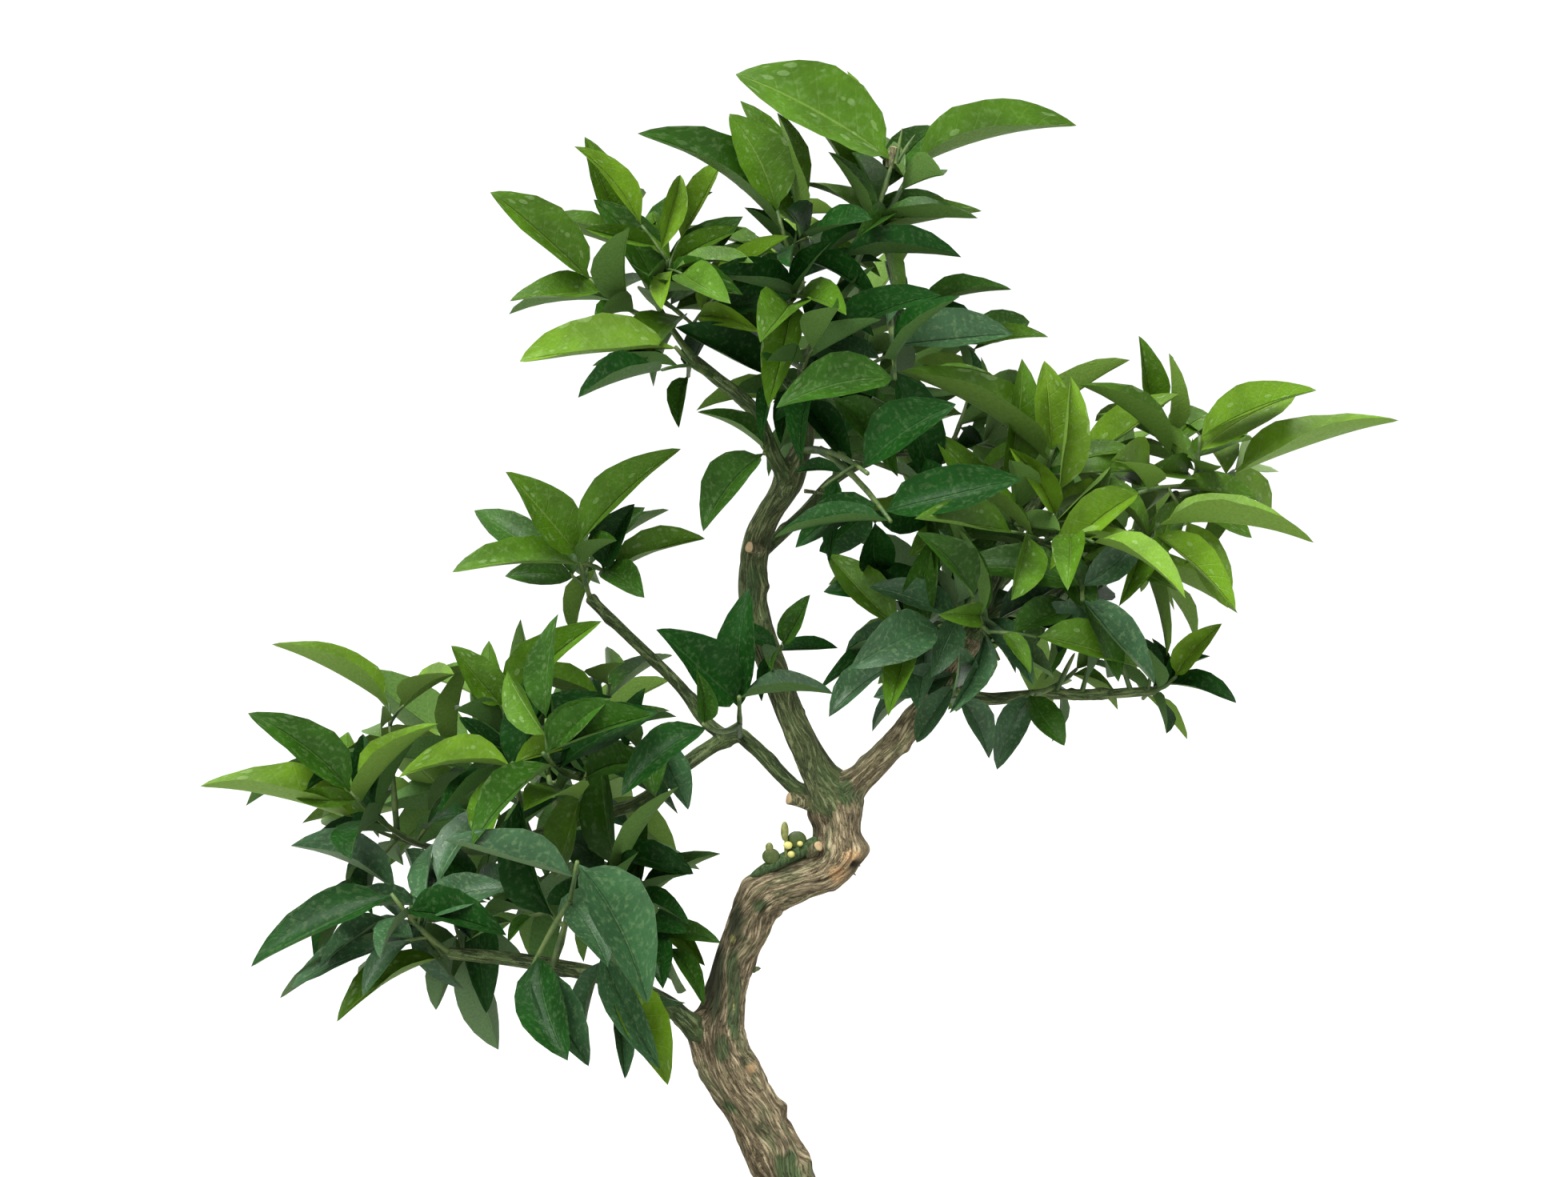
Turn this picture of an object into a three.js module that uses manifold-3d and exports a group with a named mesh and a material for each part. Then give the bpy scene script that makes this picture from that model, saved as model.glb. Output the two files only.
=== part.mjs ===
// Myrtle-leaf orange bonsai: a small citrus tree in a plain rectangular pot.
// Millimetres, +Z up. The front of the tree faces -Y, and the origin is the middle
// of the pot's flat underside.
import * as THREE from 'three';
import { mergeVertices } from 'three/addons/utils/BufferGeometryUtils.js';
import Module from 'manifold-3d';

const wasm = await Module();
wasm.setup();

const clearance = 0.3;   // gap between pieces that touch
const degree = Math.PI / 180;

// The pot: outside sizes at the lip, then how far the foot and the wall stand in from it.
// The cavity's insets are measured from the same lip.
const potSize = { length: 240, depth: 176, height: 68, corner: 24, leastCorner: 4, cornerSteps: 5 };
const potFoot = { height: 6, inset: 11, slope: 2 };
const potWall = { low: 7, high: 3.5, lipHeight: 13, lipSlope: 1, chamfer: 1.5 };
const cavity = { floor: 9, low: 16, high: 9 };
const footGap = { height: 5, depth: 14, front: 120, side: 76 };
const drain = { radius: 8, apart: 110, sides: 16 };

// The soil: its edge, then a low mound given as [inset, share of the rise], level in the
// middle where the trunk stands
const soil = { edge: 58.5, top: 62, mound: [[24, 0.5], [42, 0.85], [60, 1]] };

// The larger clods on the soil: how far apart, their size, how deep they lie, how far each is
// moved as a share of the distance apart, and how far they stay from the wall and the trunk
const clod = {
  apart: 19, radius: 4.2, flatness: 0.8, sunk: 0.9, astray: 0.6, seed: 31, fromWall: 17, fromTrunk: 18,
};

// Limbs: rings for each point of the course, sides for the thickness, places where leaves
// are kept clear of them, and the flare of the roots with its buttresses
const limbMesh = { ringsPerPoint: 2.2, leastSides: 5, sidesPerRadius: 0.6, spots: 40 };
const rootFlare = { reach: 0.04, buttresses: 5, depth: 0.3 };
const oldBark = 5.5;     // limbs thicker than this have grey bark, the others green

// Twigs: radius at the tip, more for each millimetre of length, and no thicker than most or
// than a share of the limb. A shoot leaves the stem between these shares of the way along it,
// and sags by a share of its run, or arches by it where it goes down.
const twig = { tip: 0.8, perLength: 0.011, most: 1.5, ofLimb: 0.75, sides: 3, rings: 3, checks: 6 };
const fork = { first: 0.3, span: 0.45 };
const sag = { rising: 0.14, falling: -0.084 };
const firstSeed = 3;

// Leaves on a shoot, from its tip back: the spiral, the gap between two as a share of a leaf,
// and the turns that a leaf tries until it is free
const spiral = 137.5;
const spacing = { first: 0.6, share: 0.11, mostOfRun: 0.85, nearest: 0.05 };
const turnsTried = [0, 22, -22, 44, -44];
const vary = { around: 24, lean: 14, ageing: 0.8 };
const droop = { level: 0.15, young: 0.4, old: 0.6 };
const facing = { shoot: 0.4, outward: 0.95, jitter: 0.7, edgeOn: 0.03, x: 0.6, y: 1.5, front: 40 };

// A leaf: [least, span] of its length against the shoot's, its width, how far its midrib curls
// back and its halves fold up, then the shares of its length where it is widest, how thick it
// is, and where it leaves the twig. Its root reaches into the twig, and it keeps clear of limbs.
const leafRange = { long: [0.86, 0.24], wide: [0.43, 0.11], curl: [0.1, 0.2], fold: [18, 24] };
const blade = { widest: 0.42, thickness: 0.012, neck: 0.14, reach: 0.6, root: 0.32, clear: 1 };

// A limb starts on another limb, a share of the way along it, and runs through its course.
// Its radius goes from the first number to the second by the power taper, and swells by
// [share of the way, extra radius, spread] at each junction and knot.
const limbs = {
  trunk: {
    course: [[12, 0, 55], [1, -1, 93], [-13, -1, 125], [-25, 1, 147], [-25, 2, 163], [-19, 0, 184],
      [-11.5, -2, 199.5], [0, -3, 205], [11, -3, 211], [12.8, -1, 221], [12, 0, 230]],
    radius: [10.2, 6.2], taper: 0.8, flare: 8,
    swell: [[0.973, 2.0, 0.11], [0.306, 0.8, 0.07], [0.43, -1.0, 0.06], [0.6, 1.0, 0.05], [0.82, 1.2, 0.05]],
  },
  leader: {
    start: ['trunk', 1.0],
    course: [[1, 1, 251], [-8, 3, 274], [-15, 4, 297], [-13, 3, 318], [-3, 1, 336], [2, -1, 351],
      [2, -3, 368], [8, -3, 385], [17, -5, 403]],
    radius: [5.2, 2.2], taper: 1.6, swell: [[0.0, 2.4, 0.06], [0.56, 0.9, 0.04]],
  },
  bough_right: {
    start: ['trunk', 1.0],
    course: [[20, -2, 238], [37, -12, 257], [48, -20, 272], [55, -24, 284]],
    radius: [5.6, 3.5],
  },
  bough_right_upper: {
    start: ['bough_right', 1.0],
    course: [[61, -20, 299], [68, -16, 315], [78, -14, 330]],
    radius: [3.1, 2.0],
  },
  bough_right_outer: {
    start: ['bough_right', 0.97],
    course: [[63, -24, 292], [75, -22, 298], [91, -18, 306], [105, -14, 312], [118, -10, 324],
      [123, -8, 331]],
    radius: [2.9, 1.6],
  },
  bough_low_right: {
    start: ['bough_right', 0.7],
    course: [[60, -14, 265], [79, -6, 266], [100, -4, 266], [116, -4, 267]],
    radius: [2.1, 1.4],
  },
  bough_back_right: {
    start: ['bough_right', 0.52],
    course: [[46, 8, 270], [56, 30, 286], [70, 48, 302], [81, 58, 313]],
    radius: [2.9, 1.8],
  },
  bough_lower_left: {
    start: ['trunk', 0.342],
    course: [[-33, -1, 155], [-43, -8, 165], [-61, -18, 175], [-87, -23, 181], [-111, -25, 184]],
    radius: [4.3, 1.9],
  },
  bough_mid_left: {
    start: ['trunk', 1.0],
    course: [[0, 4, 234], [-15, 14, 248], [-22, 17, 251], [-37, 20, 242], [-53, 22, 229],
      [-75, 24, 222], [-102, 22, 212]],
    radius: [2.6, 1.9],
  },
  bough_isolated: {
    start: ['bough_mid_left', 0.45],
    course: [[-32, 19, 257], [-40, 20, 268], [-56, 16, 284], [-69, 10, 297]],
    radius: [1.9, 1.3],
  },
  bough_upper_left: {
    start: ['leader', 0.55],
    course: [[-9, -8, 346], [-15, -14, 359], [-27, -16, 369], [-33, -16, 374]],
    radius: [2.9, 1.9],
  },
  bough_center: {
    start: ['leader', 0.4],
    course: [[1, 20, 325], [13, 30, 338], [31, 38, 347], [50, 44, 345]],
    radius: [2.2, 1.6],
  },
};

const masses = {
  foliage_apex: {
    start: ['leader', 1.0], hang: 0,
    shoots: [
      {
        tip: [31, -6, 441], leaves: 1, long: 58, turn: 140, close: 70, open: 55,
        aims: [[-19, -11, 470, 0.5, 25]],
      },
      {
        tip: [25, 4, 418], leaves: 4, long: 34, turn: 270, close: 65, open: 100,
        aims: [[60, -1, 426, 0.38, 30]],
      },
      {
        tip: [38, 8, 441], leaves: 3, long: 38, turn: 220, close: 35, open: 100,
        aims: [[91, 3, 456, 0.38, 35]],
      },
      { tip: [17, 26, 429], leaves: 5, long: 46, turn: 10, close: 50, open: 70 },
    ],
  },
  foliage_top_left: {
    start: ['leader', 0.88], hang: 0,
    shoots: [
      {
        tip: [-7, -14, 423], leaves: 4, long: 48, turn: 180, close: 20, open: 100,
        aims: [[-21, -19, 454, 0.6, 15], [-50, -23, 449, 0.38, 45]],
      },
      { tip: [1, 12, 415], leaves: 5, long: 52, turn: 100, close: 50, open: 70 },
      { tip: [-3, -26, 391], leaves: 5, long: 39, turn: 80, close: 20, open: 55 },
    ],
  },
  foliage_left_top: {
    start: ['bough_upper_left', 1.0], hang: 0,
    shoots: [
      {
        tip: [-59, 6, 420], leaves: 4, long: 33, turn: 130, close: 20, open: 70,
        aims: [[-68, 1, 450, 0.6, 15]],
      },
      {
        tip: [-68, -12, 401], leaves: 4, long: 44, turn: 100, close: 20, open: 55,
        aims: [[-98, -17, 430, 0.44, 25], [-93, -21, 394, 0.44, 25]],
      },
      { tip: [-42, -24, 406], leaves: 6, long: 44, turn: 0, close: 65, open: 55 },
      { tip: [-34, -10, 386], leaves: 4, long: 42, turn: 340, close: 80, open: 85 },
    ],
  },
  foliage_left_mid: {
    start: ['bough_upper_left', 0.75], hang: 0,
    shoots: [
      {
        tip: [-39, -34, 377], leaves: 4, long: 54, turn: 160, close: 20, open: 55,
        aims: [[-88, -39, 373, 0.38, 40]],
      },
      {
        tip: [-36, -6, 370], leaves: 3, long: 30, turn: 105, close: 20, open: 100,
        aims: [[-40, -11, 353, 0.6, 20]],
      },
    ],
  },
  foliage_leader_top: {
    start: ['leader', 0.74], hang: 0,
    shoots: [
      { tip: [-15, 20, 391], leaves: 6, long: 30, turn: 300, close: 28, open: 70 },
      { tip: [-11, -24, 366], leaves: 5, long: 45, turn: 120, close: 35, open: 55 },
      { tip: [3, -34, 368], leaves: 6, long: 52, turn: 255, close: 28, open: 55 },
    ],
  },
  foliage_right_top: {
    start: ['leader', 0.95], hang: 0,
    shoots: [
      {
        tip: [40, 6, 393], leaves: 4, long: 29, turn: 110, close: 20, open: 70,
        aims: [[70, 1, 400, 0.4, 25]],
      },
      {
        tip: [59, 16, 380], leaves: 4, long: 28, turn: 210, close: 20, open: 85,
        aims: [[83, 11, 386, 0.38, 25]],
      },
      { tip: [30, -46, 366], leaves: 5, long: 41, turn: 140, close: 50, open: 85 },
    ],
  },
  foliage_right_up: {
    start: ['bough_right_upper', 1.0], hang: 0,
    shoots: [
      {
        tip: [81, -26, 345], leaves: 5, long: 50, turn: 240, close: 60, open: 70,
        aims: [[80, -31, 373, 0.6, 15], [32, -35, 371, 0.38, 55], [105, -39, 379, 0.42, 25]],
      },
      {
        tip: [93, -4, 341], leaves: 4, long: 38, turn: 90, close: 50, open: 55,
        aims: [[123, -9, 365, 0.38, 40]],
      },
      { tip: [78, 16, 358], leaves: 5, long: 43, turn: 30, close: 50, open: 100 },
    ],
  },
  foliage_right_outer: {
    start: ['bough_right_outer', 1.0], hang: 0,
    shoots: [
      {
        tip: [142, -10, 338], leaves: 3, long: 58, turn: 140, close: 20, open: 100,
        aims: [[193, -15, 357, 0.38, 50]],
      },
      {
        tip: [130, -14, 350], leaves: 4, long: 35, turn: 40, close: 50, open: 70,
        aims: [[166, -19, 366, 0.38, 30]],
      },
      {
        tip: [118, 6, 358], leaves: 4, long: 34, turn: 190, close: 20, open: 70,
        aims: [[113, 1, 384, 0.6, 15]],
      },
      { tip: [108, -30, 331], leaves: 5, long: 40, turn: 330, close: 20, open: 100 },
    ],
  },
  foliage_right_mid: {
    start: ['bough_right_upper', 0.66], hang: 0,
    shoots: [
      { tip: [82, -38, 318], leaves: 6, long: 57, turn: 165, close: 35, open: 100 },
      { tip: [57, -6, 326], leaves: 5, long: 50, turn: 280, close: 65, open: 100 },
    ],
  },
  foliage_right_edge: {
    start: ['bough_right_outer', 0.7], hang: 0,
    shoots: [
      {
        tip: [114, -34, 321], leaves: 4, long: 56, turn: 145, close: 35, open: 70,
        aims: [[162, -39, 317, 0.38, 55], [138, -43, 295, 0.38, 25]],
      },
      { tip: [109, 8, 309], leaves: 6, long: 42, turn: 335, close: 80, open: 100 },
    ],
  },
  foliage_right_low: {
    start: ['bough_right_outer', 0.5], hang: 0,
    shoots: [
      {
        tip: [88, -50, 297], leaves: 4, long: 46, turn: 170, close: 20, open: 100,
        aims: [[111, -55, 272, 0.48, 25]],
      },
      { tip: [79, -2, 291], leaves: 5, long: 40, turn: 135, close: 50, open: 100 },
    ],
  },
  foliage_inner_right: {
    start: ['bough_right', 0.93], hang: 0,
    shoots: [
      {
        tip: [50, -14, 298], leaves: 4, long: 45, turn: 10, close: 60, open: 70,
        aims: [[8, -19, 302, 0.38, 40]],
      },
      { tip: [31, -34, 288], leaves: 5, long: 34, turn: 270, close: 65, open: 85 },
      {
        tip: [40, -6, 282], leaves: 3, long: 45, turn: 130, close: 28, open: 55,
        aims: [[6, -11, 270, 0.38, 25]],
      },
      { tip: [59, -50, 287], leaves: 5, long: 49, turn: 285, close: 65, open: 55 },
    ],
  },
  foliage_right_hanging: {
    start: ['bough_right', 0.8], hang: 0.9,
    shoots: [
      { tip: [50, -34, 267], leaves: 5, long: 29, turn: 280, close: 80, open: 100 },
      { tip: [40, -2, 270], leaves: 4, long: 24, turn: 130, close: 20, open: 55 },
    ],
  },
  foliage_low_right_inner: {
    start: ['bough_low_right', 0.5], hang: 0.8,
    shoots: [
      {
        tip: [73, -22, 266], leaves: 4, long: 25, turn: 10, close: 28, open: 55,
        aims: [[52, -27, 240, 0.5, 25], [85, -31, 251, 0.47, 25]],
      },
      { tip: [92, 4, 274], leaves: 6, long: 22, turn: 50, close: 20, open: 85 },
    ],
  },
  foliage_low_right_tip: {
    start: ['bough_low_right', 1.0], hang: 0,
    shoots: [
      {
        tip: [123, -10, 272], leaves: 5, long: 26, turn: 220, close: 35, open: 55,
        aims: [[136, -15, 290, 0.6, 15], [151, -19, 286, 0.38, 40], [141, -23, 265, 0.38, 35]],
      },
      { tip: [115, 12, 264], leaves: 4, long: 22, turn: 225, close: 65, open: 100 },
    ],
  },
  foliage_leader_front: {
    start: ['leader', 0.63], hang: 0,
    shoots: [
      {
        tip: [21, -58, 336], leaves: 4, long: 44, turn: 245, close: 80, open: 100,
        aims: [[-13, -63, 364, 0.44, 25], [47, -67, 358, 0.46, 25]],
      },
      {
        tip: [28, -64, 321], leaves: 4, long: 42, turn: 210, close: 35, open: 100,
        aims: [[-8, -69, 317, 0.38, 50]],
      },
      { tip: [39, -24, 335], leaves: 5, long: 36, turn: 130, close: 50, open: 55 },
    ],
  },
  foliage_sprout: {
    start: ['leader', 0.25], hang: 0,
    shoots: [
      {
        tip: [-5, -10, 282], leaves: 3, long: 22, turn: 320, close: 20, open: 70,
        aims: [[3, -15, 299, 0.53, 25]],
      },
    ],
  },
  foliage_isolated: {
    start: ['bough_isolated', 1.0], hang: 0,
    shoots: [
      {
        tip: [-73, 2, 315], leaves: 6, long: 48, turn: 40, close: 35, open: 55,
        aims: [[-40, -3, 348, 0.38, 25], [-94, -7, 340, 0.52, 25], [-113, -11, 308, 0.38, 45],
          [-113, -15, 341, 0.38, 45]],
      },
      {
        tip: [-62, 8, 305], leaves: 4, long: 36, turn: 260, close: 65, open: 70,
        aims: [[-31, 3, 318, 0.38, 30], [-55, -1, 329, 0.6, 15]],
      },
    ],
  },
  foliage_before_leader: {
    start: ['bough_mid_left', 0.38], hang: 0,
    shoots: [
      {
        tip: [-19, -26, 266], leaves: 4, long: 35, turn: 15, close: 20, open: 55,
        aims: [[11, -31, 268, 0.38, 55], [-44, -35, 289, 0.56, 25]],
      },
      {
        tip: [-30, -40, 258], leaves: 3, long: 32, turn: 270, close: 35, open: 70,
        aims: [[-31, -45, 275, 0.6, 15]],
      },
    ],
  },
  foliage_under_left: {
    start: ['bough_upper_left', 0.28], hang: 0,
    shoots: [
      {
        tip: [-11, -18, 344], leaves: 4, long: 36, turn: 200, close: 50, open: 55,
        aims: [[-32, -23, 320, 0.55, 25], [-32, -27, 358, 0.4, 25]],
      },
    ],
  },
  foliage_far_left: {
    start: ['bough_mid_left', 1.0], hang: 0,
    shoots: [
      {
        tip: [-145, 6, 223], leaves: 4, long: 56, turn: 120, close: 50, open: 100,
        aims: [[-196, 1, 238, 0.38, 50]],
      },
      {
        tip: [-137, 16, 262], leaves: 4, long: 46, turn: 350, close: 50, open: 100,
        aims: [[-174, 11, 284, 0.38, 55]],
      },
      {
        tip: [-145, -14, 235], leaves: 4, long: 42, turn: 50, close: 50, open: 55,
        aims: [[-175, -19, 263, 0.41, 25]],
      },
    ],
  },
  foliage_left_upper: {
    start: ['bough_mid_left', 0.94], hang: 0,
    shoots: [
      {
        tip: [-96, -12, 263], leaves: 5, long: 34, turn: 20, close: 35, open: 55,
        aims: [[-111, -17, 283, 0.6, 15], [-65, -21, 292, 0.38, 25]],
      },
      { tip: [-91, -30, 245], leaves: 5, long: 33, turn: 230, close: 80, open: 55 },
      { tip: [-118, 26, 248], leaves: 5, long: 36, turn: 30, close: 35, open: 70 },
    ],
  },
  foliage_left_inner: {
    start: ['bough_mid_left', 0.82], hang: 0,
    shoots: [
      { tip: [-63, 12, 269], leaves: 6, long: 34, turn: 120, close: 65, open: 70 },
      {
        tip: [-80, -44, 249], leaves: 4, long: 46, turn: 150, close: 65, open: 55,
        aims: [[-46, -49, 263, 0.51, 25]],
      },
      { tip: [-71, -16, 232], leaves: 5, long: 40, turn: 105, close: 50, open: 85 },
      {
        tip: [-46, -4, 250], leaves: 4, long: 29, turn: 0, close: 50, open: 55,
        aims: [[-35, -9, 229, 0.6, 15]],
      },
    ],
  },
  foliage_left_hanging: {
    start: ['bough_lower_left', 1.0], hang: 0.35,
    shoots: [
      {
        tip: [-129, -34, 204], leaves: 4, long: 52, turn: 270, close: 50, open: 55,
        aims: [[-173, -39, 183, 0.38, 35], [-91, -43, 194, 0.47, 25]],
      },
      {
        tip: [-127, -10, 191], leaves: 3, long: 42, turn: 200, close: 50, open: 70,
        aims: [[-168, -15, 169, 0.38, 65]],
      },
      {
        tip: [-114, -22, 182], leaves: 4, long: 38, turn: 120, close: 80, open: 85,
        aims: [[-148, -27, 164, 0.38, 60], [-129, -31, 158, 0.46, 25]],
      },
      {
        tip: [-104, -6, 197], leaves: 4, long: 53, turn: 270, close: 35, open: 100,
        aims: [[-99, -11, 163, 0.39, 25]],
      },
    ],
  },
  foliage_low_front: {
    start: ['bough_lower_left', 0.74], hang: 0.6,
    shoots: [
      {
        tip: [-68, -62, 217], leaves: 2, long: 46, turn: 230, close: 80, open: 55,
        aims: [[-43, -67, 176, 0.6, 15]],
      },
      {
        tip: [-84, -44, 181], leaves: 3, long: 40, turn: 240, close: 50, open: 85,
        aims: [[-64, -49, 153, 0.6, 15]],
      },
      {
        tip: [-56, -32, 173], leaves: 4, long: 42, turn: 350, close: 20, open: 55,
        aims: [[-54, -37, 146, 0.46, 25], [-39, -41, 146, 0.57, 25]],
      },
      { tip: [-79, -30, 198], leaves: 4, long: 43, turn: 10, close: 80, open: 70 },
    ],
  },
  foliage_near_trunk: {
    start: ['bough_lower_left', 0.5], hang: 0,
    shoots: [
      {
        tip: [-61, 2, 215], leaves: 4, long: 43, turn: 280, close: 20, open: 55,
        aims: [[-34, -3, 208, 0.38, 35]],
      },
      { tip: [-46, 16, 195], leaves: 6, long: 29, turn: 80, close: 80, open: 100 },
      { tip: [-40, -2, 180], leaves: 5, long: 24, turn: 300, close: 20, open: 55 },
    ],
  },
  foliage_back_top: {
    start: ['bough_center', 0.5], hang: 0,
    shoots: [
      { tip: [15, 62, 384], leaves: 6, long: 49, turn: 170, close: 35, open: 100 },
      { tip: [-3, 56, 366], leaves: 5, long: 34, turn: 50, close: 65, open: 100 },
      { tip: [32, 66, 367], leaves: 5, long: 45, turn: 310, close: 35, open: 85 },
    ],
  },
  foliage_back_middle: {
    start: ['bough_center', 1.0], hang: 0,
    shoots: [
      { tip: [60, 62, 367], leaves: 5, long: 45, turn: 210, close: 65, open: 100 },
      { tip: [70, 48, 349], leaves: 5, long: 33, turn: 140, close: 20, open: 85 },
    ],
  },
  foliage_back_right: {
    start: ['bough_back_right', 1.0], hang: 0,
    shoots: [
      { tip: [99, 84, 331], leaves: 5, long: 38, turn: 130, close: 20, open: 55 },
      { tip: [114, 66, 313], leaves: 5, long: 43, turn: 250, close: 35, open: 100 },
      { tip: [81, 82, 294], leaves: 5, long: 39, turn: 345, close: 35, open: 70 },
    ],
  },
  foliage_back_inner: {
    start: ['bough_back_right', 0.5], hang: 0,
    shoots: [
      { tip: [51, 58, 308], leaves: 5, long: 45, turn: 230, close: 65, open: 70 },
      { tip: [67, 50, 283], leaves: 5, long: 32, turn: 210, close: 50, open: 100 },
    ],
  },
  foliage_back_left: {
    start: ['bough_mid_left', 0.88], hang: 0,
    shoots: [
      { tip: [-91, 78, 245], leaves: 5, long: 52, turn: 70, close: 50, open: 55 },
      { tip: [-67, 70, 226], leaves: 5, long: 36, turn: 120, close: 20, open: 100 },
      { tip: [-113, 76, 225], leaves: 5, long: 64, turn: 110, close: 65, open: 55 },
    ],
  },
  foliage_back_low: {
    start: ['bough_mid_left', 0.7], hang: 0.5,
    shoots: [
      { tip: [-66, 56, 196], leaves: 5, long: 31, turn: 105, close: 50, open: 85 },
      { tip: [-86, 60, 193], leaves: 5, long: 45, turn: 130, close: 20, open: 55 },
    ],
  },
};

const up = new THREE.Vector3(0, 0, 1);

// The same number between 0 and 1 for the same pair, the fraction of a large sine
function chance(a, b) {
  const wave = Math.sin(a * 127.1 + b * 311.7) * 43758.5453;
  return wave - Math.floor(wave);
}

// A closed geometry as an exact solid
function toSolid(geometry) {
  geometry.deleteAttribute('normal');
  geometry.deleteAttribute('uv');
  const merged = mergeVertices(geometry, 1e-5);
  const vertProperties = merged.attributes.position.array;
  const triVerts = Uint32Array.from(merged.index.array);
  return new wasm.Manifold(new wasm.Mesh({ numProp: 3, vertProperties, triVerts }));
}

// A solid as a named mesh, without the scraps and sealed hollows that a cut can leave
function toMesh(name, solid, material) {
  const whole = solid.decompose().reduce((a, b) => (b.volume() > a.volume() ? b : a));
  const { vertProperties, triVerts } = whole.getMesh();
  const geometry = new THREE.BufferGeometry();
  geometry.setAttribute('position', new THREE.BufferAttribute(vertProperties, 3));
  geometry.setIndex(new THREE.BufferAttribute(triVerts, 1));
  geometry.computeVertexNormals();
  const mesh = new THREE.Mesh(geometry, material);
  mesh.name = name;
  return mesh;
}

// Limbs

function limbCurve(limb) {
  const points = limb.course.map((p) => new THREE.Vector3(...p));
  if (limb.start) points.unshift(placeOn(...limb.start));
  return new THREE.CatmullRomCurve3(points, false, 'catmullrom', 0.5);
}

function placeOn(name, where) {
  return limbCurve(limbs[name]).getPoint(where);
}

// Radius of a limb a share of the way along it, and round it at the flare of the roots
function limbRadius(limb, along, around = 0) {
  const [thick, thin] = limb.radius;
  let radius = thick + (thin - thick) * along ** (limb.taper ?? 1);
  for (const [place, extra, spread] of limb.swell ?? []) {
    radius += extra * Math.exp(-(((along - place) / spread) ** 2));
  }
  const buttress = 1 + rootFlare.depth * Math.cos(rootFlare.buttresses * around);
  return radius + (limb.flare ?? 0) * Math.exp(-along / rootFlare.reach) * buttress;
}

// A closed tube along a curve: a cylinder whose rings move to the curve, with the ring's
// direction carried on from one to the next so that the tube doesn't twist. Its ends reach
// past the curve's by beyond.
function tube(curve, sides, steps, radiusAt, beyond = 0) {
  const rings = [];
  let side = new THREE.Vector3(0.9, 0.4, 0.1);
  for (let i = 0; i <= steps; i++) {
    const tangent = curve.getTangent(i / steps);
    side = side.clone().addScaledVector(tangent, -side.dot(tangent)).normalize();
    const cross = new THREE.Vector3().crossVectors(side, tangent);
    rings.push({ centre: curve.getPoint(i / steps), side, cross });
  }
  rings[0].centre.addScaledVector(curve.getTangent(0), -beyond);
  rings[steps].centre.addScaledVector(curve.getTangent(1), beyond);
  const geometry = new THREE.CylinderGeometry(1, 1, 1, sides, steps);
  const position = geometry.attributes.position;
  for (let i = 0; i < position.count; i++) {
    const x = position.getX(i);
    const z = position.getZ(i);
    const along = position.getY(i) + 0.5;
    const ring = rings[Math.round(along * steps)];
    const radius = radiusAt(along, Math.atan2(z, x));
    const point = ring.centre.clone();
    point.addScaledVector(ring.side, x * radius).addScaledVector(ring.cross, z * radius);
    position.setXYZ(i, point.x, point.y, point.z);
  }
  return toSolid(geometry);
}

// A limb grown by extra all round, to cut its neighbours clear of it
function limbSolid(limb, extra = 0) {
  const steps = Math.round(limb.course.length * limbMesh.ringsPerPoint);
  const sides = Math.round(limbMesh.leastSides + limb.radius[0] * limbMesh.sidesPerRadius);
  const radiusAt = (along, around) => limbRadius(limb, along, around) + extra;
  return tube(limbCurve(limb), sides, steps, radiusAt, extra);
}

// Leaf masses

// The stem goes from the limb to the first tip. Each other shoot leaves the stem part of
// the way along, at a place that the mass's seed picks.
function shootCurves(mass, seed) {
  const curves = [];
  mass.shoots.forEach((shoot, k) => {
    const tip = new THREE.Vector3(...shoot.tip);
    const start = k === 0
      ? placeOn(...mass.start)
      : curves[0].getPoint(fork.first + fork.span * chance(seed, k + 0.5));
    const drop = tip.distanceTo(start) * (tip.z > start.z ? sag.rising : sag.falling);
    const middle = start.clone().add(tip).multiplyScalar(0.5).addScaledVector(up, -drop);
    curves.push(new THREE.QuadraticBezierCurve3(start, middle, tip));
  });
  return curves;
}

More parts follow.
